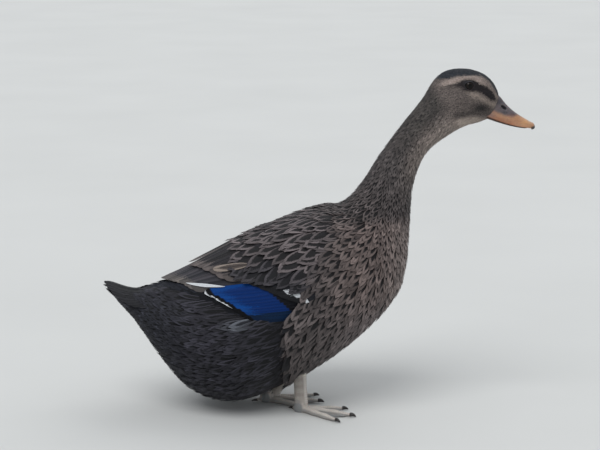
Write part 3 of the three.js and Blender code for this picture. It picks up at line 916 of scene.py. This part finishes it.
quill = {
    "rows": [0, 0.12, 0.24, 0.36, 0.48, 0.6, 0.7, 0.79, 0.87, 0.93, 0.975, 1],
    "columns": [-1, -0.75, -0.5, -0.25, -0.06, 0, 0.06, 0.25, 0.5, 0.75, 1],
    "profileAt": [0, 0.15, 0.5, 0.8, 0.92, 0.975, 1],
    "profile": [0.3, 0.8, 1, 0.95, 0.78, 0.5, 0.2],
    "tipRound": 0.015, "ragged": 0, "camber": 0.16, "tilt": 0, "uneven": 0.02, "riseShape": 1,
    "shaft": 0.5 * mm,
    "rootSpread": 0.4,  # how far off its place one root or tip is, in mm
    "tipSpread": 0.5,
    "patch": 0.012,
    "slot": "wing_plumage",
}
wing = {
    # root and tip of each row's lowest and highest feather, then the rise of the lowest at root and tip,
    # and how much more each next one rises, all in mm. Colours are centre and edge, used in turn.
    "secondaries": {
        "count": 10, "root": ((0, 127), (-28, 155)), "tip": ((-80, 119.5), (-118.5, 138.5)), "sag": 2,
        "tipBend": (4.5, -0.5), "width": 16, "rise": (1.2, 3), "riseEach": (0.22, 0.22), "edgeWidth": 0.5,
        "shaftLine": 0.15, "colours": [("0a2340", "0a1d36")] * 2 + [("052b66", "0b4388")] * 8,
    },
    "primaries": {
        "count": 6, "root": ((-48, 124), (-48, 140)), "tip": ((-200, 137), (-152, 143)), "sag": 2,
        "width": 13, "rise": (0.2, 1.3), "riseEach": (0.25, 0.25), "edgeWidth": 0.25,
        "colours": [("0d0f14", "272932")],
    },
    "coverts": {
        "count": 11, "root": ((11, 144), (-34, 168)), "tip": ((-28, 138.5), (-80, 154)), "sag": 1,
        "width": 13, "rise": (1.6, 4.9), "riseEach": (0.08, 0.08), "edgeWidth": 0.25,
        "colours": [("1a1b21", "3d3c44")],
    },
    "tertials": {
        "count": 9, "root": ((-64, 66, 156), (-84, 10, 200)), "tip": ((-137, 45, 147), (-172, 3, 143)),
        "sag": -2, "width": 21, "rise": (2.6, 3.8), "riseEach": (0.2, 0.32), "edgeWidth": 0.24,
        "colours": [("303035", "54504e"), ("3c3b40", "7a736e"), ("48454a", "645f5c")],
    },
    "scapulars": {
        "count": 7, "root": ((-44, 68, 168), (-58, 12, 206)), "tip": ((-103, 58, 160), (-142, 9, 160)),
        "sag": -1, "width": 18, "rise": (4.2, 7.1), "riseEach": (0.3, 0.22), "edgeWidth": 0.22,
        "colours": [("1c1a1c", "5f5755"), ("252226", "786e6b")],
    },
}


def rowOf(plan):
    # feathers of one row, from its lowest to its highest
    made = []
    for i in range(plan["count"]):
        share = i / (plan["count"] - 1)
        heart, edge = plan["colours"][i % len(plan["colours"])]
        bend = np.array(plan.get("tipBend", 0)) * 4 * share * (1 - share)
        made.append(dict(
            plan, heart=heart, edge=edge, root=blend(*np.array(plan["root"], float), share),
            tip=blend(*np.array(plan["tip"], float), share) + bend,
            rise=np.array(plan["rise"]) + i * np.array(plan["riseEach"])))
    return made


wingRows = {name: rowOf(plan) for name, plan in wing.items()}
whiteMargin = {
    "root": (-98, 146.6), "tip": (-141, 143.6), "width": 4, "rise": (5.4, 4.9), "heart": "cfd2d6",
    "edge": "e3e5e8", "shaftLine": 0.05,
}
# a short one over the other long scapulars, with a broad pale fringe
wingRows["scapulars"].append({
    "root": (-72, 167), "tip": (-109, 157.5), "width": 9, "rise": (7.6, 8.6), "heart": "4c4440",
    "edge": "ab9d92", "edgeWidth": 0.42,
})
# the blue is made by layers in the keratin, under a satin gloss. The tips are black, and then white.
blueSheen = {"roughness": 0.42, "sheen": 0, "shine": 0.1}
blueBands = ((-1, 0.3, "121318"), (0.9, 2, "08090c"))
blueVane = vaneMaterial("blueWingFeather", **blueSheen, bands=blueBands)
whiteTipVane = vaneMaterial("whiteTippedBlueFeather", **blueSheen, bands=(*blueBands, (0.974, 2, "d9dcdf")))
# the other wing and tail feathers are stiff and closely hooked, which gives them a faint gloss
stiff = {"roughness": 0.55, "sheen": 0.02}
quillVane = vaneMaterial("flightFeather", **stiff, shine=0.15)
covertVane = vaneMaterial("wingCovertFeather", **stiff, bands=((0.6, 0.745, "d3d6da"), (0.745, 2, "0b0b0f")))
darkCovertVane = vaneMaterial("darkCovertFeather", **stiff, bands=((0.7, 2, "0b0b0f"),))
laid("secondariesLow", wingRows["secondaries"][:4], material=blueVane, slant=1.1)
laid("secondariesHigh", wingRows["secondaries"][4:], material=whiteTipVane, slant=1.1)
laid("primaries", wingRows["primaries"], material=quillVane)
laid("greatCovertsLow", wingRows["coverts"][:4], material=covertVane, slant=1.5)
laid("greatCovertsHigh", wingRows["coverts"][4:], material=darkCovertVane, slant=1.5)
laid("whiteMargin", [whiteMargin], material=quillVane, profile=[0.1, 0.5, 1, 0.7, 0.4, 0.2, 0.05])
laid("tertials", wingRows["tertials"], material=quillVane)
laid("longScapulars", wingRows["scapulars"], material=softVane, slot="shoulder_plumage")

tail = {
    "pivot": -112,
    "root": 0.3,  # where a feather starts, as a share of its reach from the pivot
    "profile": [0.3, 0.7, 0.95, 0.9, 0.7, 0.5, 0.2],
    # the height of the middle feathers, every so far back from the pivot, in mm
    "every": 31,
    "height": (142, 139, 133, 130.8, 139.5),
    "layers": [
        # the short feathers below fill the fan from underneath
        {"name": "tailCovertsBelow", "count": 16, "spread": 24, "longest": 112, "shorter": 34, "width": 17,
         "lower": 5.6, "droop": 0.0085, "heart": "040507", "edge": "12141a"},
        {"name": "tailFeathers", "count": 20, "spread": 25, "longest": 124, "shorter": 40, "width": 18,
         "lower": 1.2, "droop": 0.006, "heart": "08090c", "edge": "26262a"},
    ],
}


def tailFan(plan):
    v, u = np.meshgrid(quill["rows"], quill["columns"], indexing="ij")
    count = plan["count"]
    order = np.linspace(-1, 1, count)
    points = []
    for share in order:
        reach = plan["longest"] - plan["shorter"] * abs(share) ** 1.6 + rng.normal(0, 0.6)
        far = reach * blend(tail["root"], 1, v)
        half = plan["width"] / 2 * np.interp(v, quill["profileAt"], tail["profile"])
        bend = math.radians(plan["spread"]) * share * (1 + 0.12 * v)
        x = tail["pivot"] - far * np.cos(bend) + u * half * np.sin(bend)
        y = -far * np.sin(bend) - u * half * np.cos(bend)
        z = spline(tail["height"], (tail["pivot"] - x) / tail["every"])[..., 0] - plan["droop"] * y * y
        # the middle feathers lie on top, and each has a shaft and lies aslant
        z = z + 1.4 * (1 - abs(share)) - plan["lower"]
        z = z + 0.3 * (abs(u) < 0.02) - 0.25 * u ** 2 + 0.5 * u * np.sign(share)
        points.append(np.stack([x, y, z], -1))
    marks = np.concatenate([linear(plan["heart"]), linear(plan["edge"]), [0.25, 0.4]])
    look = dict(quill, material=quillVane, slot="tail_plumage", marks=np.tile(marks, (count, 1)),
                length=np.full(count, 80 * mm), width=np.full(count, plan["width"] * mm))
    place = np.stack([0 * order + 4, order * 30 + around], -1)  # for the bake map only
    featherPiece(plan["name"], np.array(points) * mm, place, look)


for plan in tail["layers"]:
    tailFan(plan)


def skinlikeMaterial(name, roughness, grain, grainSize, stretch=(1, 1, 1), depth=0.2 * mm, glow=0.0, coat=0.0,
                     shine=0.4):
    # bare skin or horn: its painted colour broken up by grain, which also gives the bump and the gloss
    material, node = newMaterial(name)
    colour = node("Attribute", attribute_name="heart")["Color"]
    where = node("Mapping", {"Vector": node("TexCoord")["Object"], "Scale": stretch})[0]
    noise = node("TexNoise", {"Vector": where, "Scale": 1 / grainSize, "Detail": 5, "Roughness": 0.6})["Fac"]
    spread = {"Value": noise, "From Min": 0.3, "From Max": 0.7}
    shade = node("MapRange", {**spread, "To Min": 1 - grain, "To Max": 1 + grain})[0]
    shader = node("BsdfPrincipled", {
        "Base Color": node("MixRGB", {"Fac": 1, "Color1": colour, "Color2": shade}, blend_type="MULTIPLY")[0],
        "Roughness": node("MapRange", {**spread, "To Min": roughness - 0.08, "To Max": roughness + 0.1})[0],
        "Normal": node("Bump", {"Height": noise, "Strength": 0.6, "Distance": depth})[0],
        "Specular IOR Level": shine, "Coat Weight": coat, "Coat Roughness": 0.1,
        "Subsurface Weight": glow, "Subsurface Scale": 2 * mm,
    })
    node("OutputMaterial", {"Surface": shader[0]})
    return material


bill = {
    # x and z of the ridge, x and z of the mouth edge, and half the width, in mm, from inside the face
    "ribs": [
        (190, 352, 178.5, 327.2, 10.4), (198.3, 346, 187.4, 323.7, 10.6), (205.5, 337.5, 196.5, 320.2, 9.7),
        (214.5, 329.5, 207.4, 316.6, 9.4), (224.5, 322.8, 219.3, 313.9, 10),
        (231.6, 318.6, 229.2, 312.6, 9.2), (235.2, 315.6, 234, 311.8, 6.4), (236.6, 313.4, 236.2, 311, 1.2),
    ],
    # the lowest line under the mouth edge, x and z, at the same ribs
    "under": [(177, 324.5), (186.3, 321.2), (195.5, 318.1), (206.5, 314.9), (218.5, 312.4), (227.6, 311.4)],
    "fullness": (0.95, 0.95, 0.9, 0.84, 0.76, 0.7, 0.7, 0.8),  # how round each rib is: 1 is an ellipse
    "rows": 150,
    "columns": 97,
    # the tip bends down in an arc: where it starts, the height of its centre, and how fast it turns
    "bendFrom": 231.3,
    "bendFloor": 308.3,
    "bendRadius": 4.8,
    "end": 7,  # the number of the last rib
    "nail": {"from": 5.2, "width": 5.2, "rows": 46, "columns": 61},
    "nostril": (202, 334.6, 3.9, 1.7, -0.75),  # x, z, half length, half height, slope
    # where the grey ends above the orange, x then z
    "greyEdge": ((180, 187, 194.7, 201.6, 208.5, 214, 222),
                 (333.5, 332.3, 329.6, 326.4, 325.2, 325.2, 325.6)),
    "spots": 46,
    "patches": [
        # x, z, reach, colour and strength. The bright orange one near the tip is a painted highlight.
        (211, 326.5, 3.6, "5c4446", 0.6), (226, 319.2, 5, "c39463", 0.6), (187.5, 327, 6.5, "8c7067", 0.75),
        (205, 321, 4.5, "98705a", 0.5), (193, 336, 5, "6f6260", 0.5), (217, 323.5, 4, "a8754c", 0.4),
    ],
    "orange": "ab8163",
    "orangeDeep": "945f43",
    "grey": "5a5356",
    # a pale line along the ridge: partly the ridge's own paler horn, partly a painted highlight
    "ridge": "cdc7c4",
    "dark": "25242b",
    "black": "0c0c0f",
    # painted shade along the mouth edge and the palate
    "rim": "6b4632",
    # the lower mandible: its own darker horn with painted shade from the upper bill over it
    "lowerRoot": "4d3a33",
    "lowerTip": "2c2726",
}


def billRings(rows, columns, start=0):
    # the upper half of the bill: over the ridge from edge to edge, and back along a palate that is a
    # shallow vault
    at = np.linspace(start, bill["end"], rows)
    ribs = spline(bill["ribs"], at)
    power = spline(bill["fullness"], at)
    turn = np.linspace(-math.pi / 2, math.pi / 2, columns)
    back = np.linspace(math.pi / 2, -math.pi / 2, columns // 2)[None, 1:-1]
    level = 0 * at[:, None]
    over = np.sign(np.sin(turn)) * abs(np.sin(turn)) ** power
    across = np.concatenate([over, np.sin(back) * 0.96 + level], 1)
    high = np.concatenate([abs(np.cos(turn)) ** power, np.cos(back) * 0.1 + level], 1)
    return np.stack([blend(ribs[:, 2:3], ribs[:, 0:1], high), ribs[:, 4:5] * across,
                     blend(ribs[:, 3:4], ribs[:, 1:2], high)], -1)


def hooked(points):
    past = points[..., 0] - bill["bendFrom"]
    high = points[..., 2] - bill["bendFloor"]
    turn = past / bill["bendRadius"]
    bent = points.copy()
    bent[..., 0] = np.where(past > 0, bill["bendFrom"] + high * np.sin(turn), points[..., 0])
    bent[..., 2] = np.where(past > 0, bill["bendFloor"] + high * np.cos(turn), points[..., 2])
    return bent


def billUpper():
    points = billRings(bill["rows"], bill["columns"])
    x, y, z = np.moveaxis(points, -1, 0)
    # the flanks are a little hollow between ridge and edge
    edges = spline(bill["ribs"], np.linspace(0, bill["end"], bill["rows"]))
    high = ((z - edges[:, 3:4]) / (edges[:, 1:2] - edges[:, 3:4])).clip(0, 1)
    y *= 1 - 0.09 * hill(high - 0.45, 0.3) * ramp(x, 196, 208) * ramp(x, 234, 222)
    # nostril: a slanted oval with a raised rim
    holeX, holeZ, long, tall, slope = bill["nostril"]
    tilt = math.atan(slope)
    along = (x - holeX) * math.cos(tilt) + (z - holeZ) * math.sin(tilt)
    up = (z - holeZ) * math.cos(tilt) - (x - holeX) * math.sin(tilt)
    far = np.hypot(along / long, up / tall)
    top = np.arange(points.shape[1]) < bill["columns"]
    sink = ramp(far, 1.05, 0.5) * 2.6 - hill(far - 1.3, 0.3) * 0.35
    y -= np.sign(y) * sink * top * (abs(y) > 1)
    border = np.interp(x, *bill["greyEdge"]) + 0.3 * np.sin(x * 0.7)
    orange = ramp(border - z, -2.6, 2)
    layers = [
        (bill["orange"], orange),
        (bill["orangeDeep"], ramp(border - z, 1.5, 7) * orange * ramp(x, 224, 205) * 0.75),
        # painted highlight along the ridge, over its own paler horn
        (bill["ridge"], ramp(abs(y), 3.2, 1.3) * ramp(high, 0.5, 0.7) * ramp(x, 194, 204) * 0.9),
    ]
    for _ in range(bill["spots"]):
        spotX, spotZ, sign = rng.uniform(188, 216), rng.uniform(322, 342), rng.choice((-1, 1))
        near = hill(np.hypot(x - spotX, z - spotZ), rng.uniform(0.5, 1.3)) * (np.sign(y) == sign)
        layers.append((bill["dark"], near * 0.55 * (1 - orange)))
    # painted shade in the hollow of the nostril
    layers.append((bill["dark"], ramp(far, 1.1, 0.7) * top * 0.92))
    for spotX, spotZ, radius, hexColour, amount in bill["patches"]:
        layers.append((hexColour, hill(np.hypot(x - spotX, (z - spotZ) * 1.4), radius) * amount))
    layers += [
        (bill["black"], ramp(x, 231.6, 233.2) * ramp(314.8 - hooked(points)[..., 2], 0, 1.4) * 0.9),
        # painted shade where the bill meets the ridge of feathers, and a dark rim of painted shade at the
        # mouth
        (bill["dark"], hill(np.hypot(x - 197, z - 341), 4.5) * 0.6),
        (bill["rim"], ramp(high, 0.05, 0) * 0.6),
    ]
    colour = tinted(linear(bill["grey"]), *layers) * np.exp(rng.normal(0, 0.03, x.shape))[..., None]
    ringPiece("billUpper", hooked(points) * mm, billKeratin, colour, "bill", "bill_upper")


def billNail():
    # a hooked shield over the tip
    plan = bill["nail"]
    shield = billRings(plan["rows"], plan["columns"], plan["from"])
    ribs = spline(bill["ribs"], np.linspace(plan["from"], bill["end"], plan["rows"]))
    width = plan["width"] * np.sqrt(((np.linspace(0, 1, plan["rows"]) + 0.02) / 0.4).clip(0.02, 1))[:, None]
    shield[..., 1] *= np.minimum(width / ribs[:, 4:5], 1.03)
    middle = blend(ribs[:, 2:4], ribs[:, :2], 0.3)
    centre = np.stack([middle[:, 0], 0 * middle[:, 0], middle[:, 1]], -1)[:, None]
    shield = centre + (shield - centre) * [1.05, 1, 1.05] + [0.25, 0, 0.05]
    shade = ramp(shield[..., 0], 230.4, 231.8) * ramp(315.8 - hooked(shield)[..., 2], 0, 1.4)
    colour = tinted(linear(bill["orange"]), (bill["ridge"], 0 * shade + 0.3), (bill["black"], shade))
    ringPiece("billNail", hooked(shield) * mm, nailHorn, colour, "nail", "bill_nail")


def billLower():
    at = np.linspace(0, 5, 90)
    ribs, under = spline(bill["ribs"], at), spline(bill["under"], at)
    turn = circle(61)
    narrow = 0.86 * np.sqrt(1 - ramp(at, 4.5, 5.15)[:, None] * 0.93)
    y = ribs[:, 4:5] * narrow * np.sin(turn)
    depth = np.maximum(-np.cos(turn), 0) ** 0.6 * (1 - 0.12 * ramp(at, 4, 5))[:, None]
    x = blend(ribs[:, 2:3], under[:, 0:1], depth)
    z = blend(ribs[:, 3:4] - 0.35, under[:, 1:2], depth)
    # painted shade under the upper bill over the lower mandible's own colour, darker towards the tip
    colour = tinted(linear(bill["lowerRoot"]), (bill["lowerTip"], ramp(x, 200, 226)))
    ringPiece("billLower", np.stack([x, y, z], -1) * mm, billKeratin, colour, "bill", "bill_lower")


# keratin grown over the jaw and kept smooth by wear: satin, with a fine grain along the bill
billKeratin = skinlikeMaterial("billKeratin", 0.42, 0.16, 1.1 * mm, (0.45, 1, 1), depth=0.18 * mm, glow=0.12)
# harder horn, rubbed on the ground: smoother, with a low gloss
nailHorn = skinlikeMaterial("nailHorn", 0.32, 0.2, 0.9 * mm, depth=0.1 * mm, coat=0.08, shine=0.25)
billUpper()
billNail()
billLower()

eyePlan = {
    "forward": 14,  # degrees that each eye looks ahead of straight sideways
    "pupil": 26,  # degrees from the axis
    "iris": 55,
    "irisOuter": "0d0806",
    "irisInner": "1a100b",
    "halfWide": 5.3,  # of the opening between the lids, in mm
    "halfHigh": 4.2,
    "slope": -8,  # degrees that the opening falls to the front
    "lid": "1d1c21",
    "rim": [
        # each step of the rim: how far out from the opening and over the eyeball, in mm, and its shade, which
        # is painted light and shade: lighter on the crest of the roll, darker in the fold against the eyeball
        # and where the rim runs under the feathers
        (-0.12, -0.9, 0.25), (-0.1, -0.1, 0.3), (0.02, 0.38, 0.8), (0.3, 0.6, 1.2), (0.7, 0.62, 1.2),
        (1.0, 0.42, 0.8), (1.2, 0.38, 0.7), (1.6, 0.46, 0.9), (2.1, 0.3, 0.8), (2.7, -0.1, 0.7),
        (3.4, -0.8, 0.6), (4.4, -2.2, 0.5),
    ],
}


def eyeAxes(sign):
    turn = math.radians(eyePlan["forward"])
    axis = unit(np.array([math.sin(turn), sign * math.cos(turn), 0.03]))
    front = unit(np.cross([0, 0, 1], axis))
    front = front * np.sign(front[0])
    rise = unit(np.cross(axis, front))
    return axis, front, rise * np.sign(rise[2]), np.array([eye["x"], sign * eye["y"], eye["z"]])


def eyeball(side, sign):
    axis, front, rise, centre = eyeAxes(sign)
    down = np.radians(np.concatenate([np.linspace(1, 80, 60), np.linspace(84, 178, 24)]))
    turn = circle(72)
    spread = np.sin(down)[:, None, None] * (np.cos(turn)[:, None] * front + np.sin(turn)[:, None] * rise)
    points = centre + (spread + np.cos(down)[:, None, None] * axis) * eye["radius"]
    angle = np.degrees(down)[:, None] + 0 * turn
    streaks = 1 + 0.25 * np.sin(turn * 23 + 2 * np.sin(turn * 7)) * ramp(angle, 26, 36)
    ring = (ramp(angle, eyePlan["pupil"] - 1.5, eyePlan["pupil"] + 1.5)
            * (1 - 0.8 * ramp(angle, eyePlan["iris"] - 7, eyePlan["iris"] + 3)))
    colour = tinted(linear(eyePlan["irisInner"]), (eyePlan["irisOuter"], ramp(angle, 28, 48)))
    colour = colour * (streaks * ring)[..., None] + 0.002
    ringPiece(f"eye{side.title()}", points, cornea, colour, "eye", f"eye_{side}")


def lids(side, sign):
    # a rolled rim round the opening, which runs out under the small feathers
    axis, front, rise, centre = eyeAxes(sign)
    turn = circle(96)
    wide = eyePlan["halfWide"] * np.cos(turn)
    high = eyePlan["halfHigh"] * np.sin(turn) * (1 - 0.12 * abs(np.cos(turn)) ** 3)
    slope = math.radians(eyePlan["slope"])
    level, steep = math.cos(slope), math.sin(slope)
    wide, high = wide * level - high * steep, wide * steep + high * level
    length = np.hypot(wide, high)
    radius = eye["radius"] / mm
    rim = []
    for out, over, _ in eyePlan["rim"]:
        a, b = wide * (length + out) / length, high * (length + out) / length
        far = np.minimum(np.hypot(a, b) / (radius + 0.2), 0.995)
        depth = np.sqrt(1 - far ** 2) * radius + over
        rim.append(centre / mm + a[:, None] * front + b[:, None] * rise + depth[:, None] * axis)
    quads = gridFaces(len(rim), len(turn))[..., ::-sign]
    piece = newPiece(f"lids{side.title()}", np.array(rim) * mm, quads, lidSkin)
    # the painted light and shade of each step
    shade = np.array([step[2] for step in eyePlan["rim"]])[:, None]
    paint(piece, "heart", np.repeat(linear(eyePlan["lid"]) * shade, len(turn), 0))
    finished(piece, "eye")


# the clear front of the eye, always wet: the one sharp gloss on the bird
cornea = skinlikeMaterial("eyeCornea", 0.14, 0.05, 2 * mm, depth=0, coat=0.22, shine=0.06)
# thin bare skin in fine creases: matt
lidSkin = skinlikeMaterial("lidSkin", 0.5, 0.3, 0.6 * mm)
for side, sign in (("left", 1), ("right", -1)):
    eyeball(side, sign)
    lids(side, sign)

legs = {
    # where the toes meet and where the leg enters the belly, in mm, then degrees that the foot turns
    "right": {"joint": (-16.5, -32), "hip": (-19.5, -31, 62), "heading": -22, "outward": -1},
    "left": {"joint": (-54.5, 8), "hip": (-6.5, 24, 62), "heading": -8, "outward": 1},
}
limb = {
    "along": 6.6,  # half widths of the bare leg
    "across": 4.4,
    "heel": (8.4, 6, 9.5),
    "toes": {
        # length, degrees from the middle toe, radius, lift of the root
        "inner": (46, -27, 3.5, 1), "middle": (58, 0, 3.9, 1), "outer": (55, 25, 3.6, 1),
        "hind": (13, 196, 2.6, 5),
    },
    "footTop": 14.5,  # where the foot's own skin ends, in mm
    "voxel": 0.55 * mm,
    "toeTurns": 28,
    "clawTurns": 20,
    "clawLength": 7,
    "scute": 2.6,  # length of the shields on the toes and down the front of the leg
    "scale": 1.5,  # width of the small scales behind
    "scaleHeight": 0.86,
    "colour": "aea69e",
    # painted highlight down the front of the leg and on the tops of the toes
    "paintedHighlight": "d6d0c8",
    # painted shade in the creases between the scales
    "paintedCreaseShade": "6a6561",
    "webColour": "7f8080",
    # painted shade on the faces that look down
    "paintedUndersideShade": "5e5a58",
    "claw": "2a2625",
}


def shankRings(leg):
    joint, hip = np.array([*leg["joint"], 0.0]), np.array(leg["hip"], float)
    share = np.linspace(0.1, 1.04, 130)[:, None]
    turn = circle(84)[None]
    # a tendon stands out behind, and the front edge is keeled
    form = 1 + 0.05 * (hill(turn - math.pi, 0.35) - hill(turn - math.pi * 0.68, 0.3)
                       - hill(turn - math.pi * 1.32, 0.3))
    form = form * (1 + 0.32 * np.exp(-share * 9) + 0.1 * share)
    high = share * hip[2]
    front = ramp(np.cos(turn), 0.35, 0.75) + 0 * share
    plates = (high / limb["scute"] + 0.18 * abs(turn - math.pi)) % 1
    shields = -0.32 * hill(np.minimum(plates, 1 - plates), 0.11) + 0.14 * plates
    level = high / limb["scale"] / limb["scaleHeight"]
    column = (turn * 5.6 / limb["scale"] + 0.5 * (np.floor(level) % 2)) % 1 - 0.5
    small = -0.2 * ramp(np.maximum(abs(column) * 1.1, abs(level % 1 - 0.5)), 0.33, 0.5)
    relief = blend(small, shields, front)
    offset = np.stack([np.cos(turn) * limb["along"], np.sin(turn) * limb["across"], 0 * turn], -1)
    offset = offset * form[..., None]
    points = joint + (hip - joint) * share[..., None] + offset + unit(offset + 1e-9) * relief[..., None]
    return points, relief, front


def tube(form, line, size, aside, high, turns):
    # a round bar along a line added to a larger form
    turn = circle(turns)
    rim = np.cos(turn)[:, None] * aside + np.sin(turn)[:, None] * [0, 0, high]
    merge(form, line[:, None] + rim * size[:, None, None])


def footForm(leg):
    # toes, webs, heel and the foot of the leg melted into one form
    form = bmesh.new()
    turn = circle(limb["toeTurns"])
    origin = np.array([*leg["joint"], 0.0])
    share = np.linspace(0, 1, 60)
    toes = {}
    for name, (length, away, radius, lift) in limb["toes"].items():
        knuckles = 1 + 0.09 * np.cos(share * 6 * math.pi)
        size = radius * (1.12 - 0.3 * share) * knuckles * np.sqrt(np.maximum(1 - share ** 8, 0.05))
        angle = math.radians(leg["heading"] + leg["outward"] * away)
        ahead = np.array([math.cos(angle), math.sin(angle), 0])
        aside = np.array([-math.sin(angle), math.cos(angle), 0])
        level = (radius * 0.7 + lift * (1 - share))[:, None] * [0, 0, 1]
        line = origin + (length * share)[:, None] * ahead + level
        tube(form, line, size, aside, 0.92, limb["toeTurns"])
        toes[name] = {"line": line, "size": size, "ahead": ahead, "aside": aside, "radius": radius}
    # heel knob
    high = np.linspace(-math.pi / 2 + 0.05, math.pi / 2 - 0.05, 24)[:, None]
    knob = np.stack([np.cos(high) * np.cos(turn), np.cos(high) * np.sin(turn), np.sin(high) + 0 * turn], -1)
    knob = knob * limb["heel"] + [-1, 0, limb["heel"][2] / 2]
    spin = np.stack([toes["middle"]["ahead"], toes["middle"]["aside"], [0, 0, 1]])
    merge(form, knob @ spin + origin)
    merge(form, shankRings(leg)[0][:22])
    # webs: thin sheets that sag a little between the toes
    across = np.linspace(0, 1, 26)
    hollow = 4 * across * (1 - across)
    for first, second in (("inner", "middle"), ("middle", "outer")):
        a, b = toes[first]["line"], toes[second]["line"]
        start = a[0] * [1, 1, 0]
        web = []
        for i in range(1, 57):
            part = i / 60
            scale = 1 - 0.24 * ramp(part, 0.3, 0.95) * hollow
            edge = blend(a[i] - start, b[i] - start, across[:, None]) * scale[:, None] + start
            middle = 1.5 - 0.35 * hollow + 0.18 * hollow * np.sin(part * 19 + across * 6)
            thick = 0.62 - 0.1 * part
            top, low = (np.column_stack([edge[:, :2], middle + some]) for some in (thick, -thick))
            web.append(np.concatenate([top, low[::-1]]))
        merge(form, np.array(web))
    rough = melted(form, limb["voxel"])
    smooth = rough.modifiers.new("smooth", "SMOOTH")
    smooth.factor = 0.5
    smooth.iterations = 3
    made = bpy.data.meshes.new_from_object(rough.evaluated_get(bpy.context.evaluated_depsgraph_get()))
    bpy.data.objects.remove(rough)
    return made, toes


def footPiece(side, made, toes):
    piece = newObject(f"foot{side.title()}", made)
    made.materials.clear()
    made.materials.append(legSkin)
    points, normals = np.empty((2, len(made.vertices) * 3), np.float32)
    made.vertices.foreach_get("co", points)
    made.vertices.foreach_get("normal", normals)
    points, normals = points.reshape(-1, 3).astype(float) / mm, normals.reshape(-1, 3)
    # shields across the tops of the toes, pads below
    relief, onToe = np.zeros((2, len(points)))
    for toe in toes.values():
        along, off = (points - toe["line"][0]) @ toe["ahead"], abs((points - toe["line"][0]) @ toe["aside"])
        reach = np.interp(along, (toe["line"] - toe["line"][0]) @ toe["ahead"], toe["size"])
        inside = (1 - ramp(off, reach * 0.7, reach * 1.15)) * (along > 2)
        plates = (along / limb["scute"] + 0.05 * off) % 1
        shields = -0.3 * hill(np.minimum(plates, 1 - plates), 0.12) + 0.1 * plates
        relief += inside * ramp(normals[:, 2], 0.15, 0.5) * shields
        onToe = np.maximum(onToe, inside)
    points = points + normals * relief[:, None]
    points[:, 2] = points[:, 2].clip(0.02, limb["footTop"])
    made.vertices.foreach_set("co", (points * mm).astype(np.float32).ravel())
    made.shade_smooth()
    # painted highlight on the tops of the toes, painted shade in the creases and on the faces that look down
    paint(piece, "heart", tinted(
        linear(limb["webColour"]),
        (limb["colour"], onToe),
        (limb["paintedHighlight"], onToe * ramp(normals[:, 2], 0.3, 0.9) * 0.6),
        (limb["paintedCreaseShade"], ramp(-relief, 0.04, 0.22) * 0.7),
        (limb["paintedUndersideShade"], ramp(normals[:, 2], -0.1, -0.7) * 0.5)))
    finished(piece, "leg_skin", f"foot_{side}")


def shank(side, leg):
    points, relief, front = (part[8:] for part in shankRings(leg))
    # painted highlight down the front of the leg, painted shade in the creases between scales
    colour = tinted(linear(limb["colour"]), (limb["paintedHighlight"], front * 0.75),
                    (limb["paintedCreaseShade"], ramp(-relief, 0.03, 0.2) * 0.8))
    ringPiece(f"shank{side.title()}", points * mm, legSkin, colour, "leg_skin", f"leg_{side}")


def claws(side, toes):
    # short hooks, blunt at the point
    form = bmesh.new()
    share = np.linspace(0, 1, 16)
    for toe in toes.values():
        out = limb["clawLength"] * share - 1.2
        lift = toe["radius"] * (0.78 + 0.16 * np.sin(share * math.pi) - 0.34 * share ** 2)
        centre = toe["line"][-1] * [1, 1, 0] + out[:, None] * toe["ahead"] + lift[:, None] * [0, 0, 1]
        thick = toe["radius"] * 0.5 * np.sqrt(np.maximum(1 - share ** 1.7, 0.004)) + 0.05
        tube(form, centre, thick, toe["aside"], 1.12, limb["clawTurns"])
    piece = objectOf(f"claws{side.title()}", form)
    piece.data.materials.append(clawHorn)
    piece.data.shade_smooth()
    paint(piece, "heart", np.tile(linear(limb["claw"]), (len(piece.data.vertices), 1)))
    finished(piece, "claw", *(f"claw_{name}_{side}" for name in toes))


# bare skin under keratin scales, dried and dusty: matt, a little softer where light enters it
legSkin = skinlikeMaterial("scaledLegSkin", 0.5, 0.22, 1.1 * mm, depth=0.22 * mm, glow=0.05)
# hard horn, scratched by the ground: a low gloss
clawHorn = skinlikeMaterial("clawHorn", 0.35, 0.25, 0.8 * mm, depth=0.1 * mm)
for side, leg in legs.items():
    made, toes = footForm(leg)
    footPiece(side, made, toes)
    shank(side, leg)
    claws(side, toes)
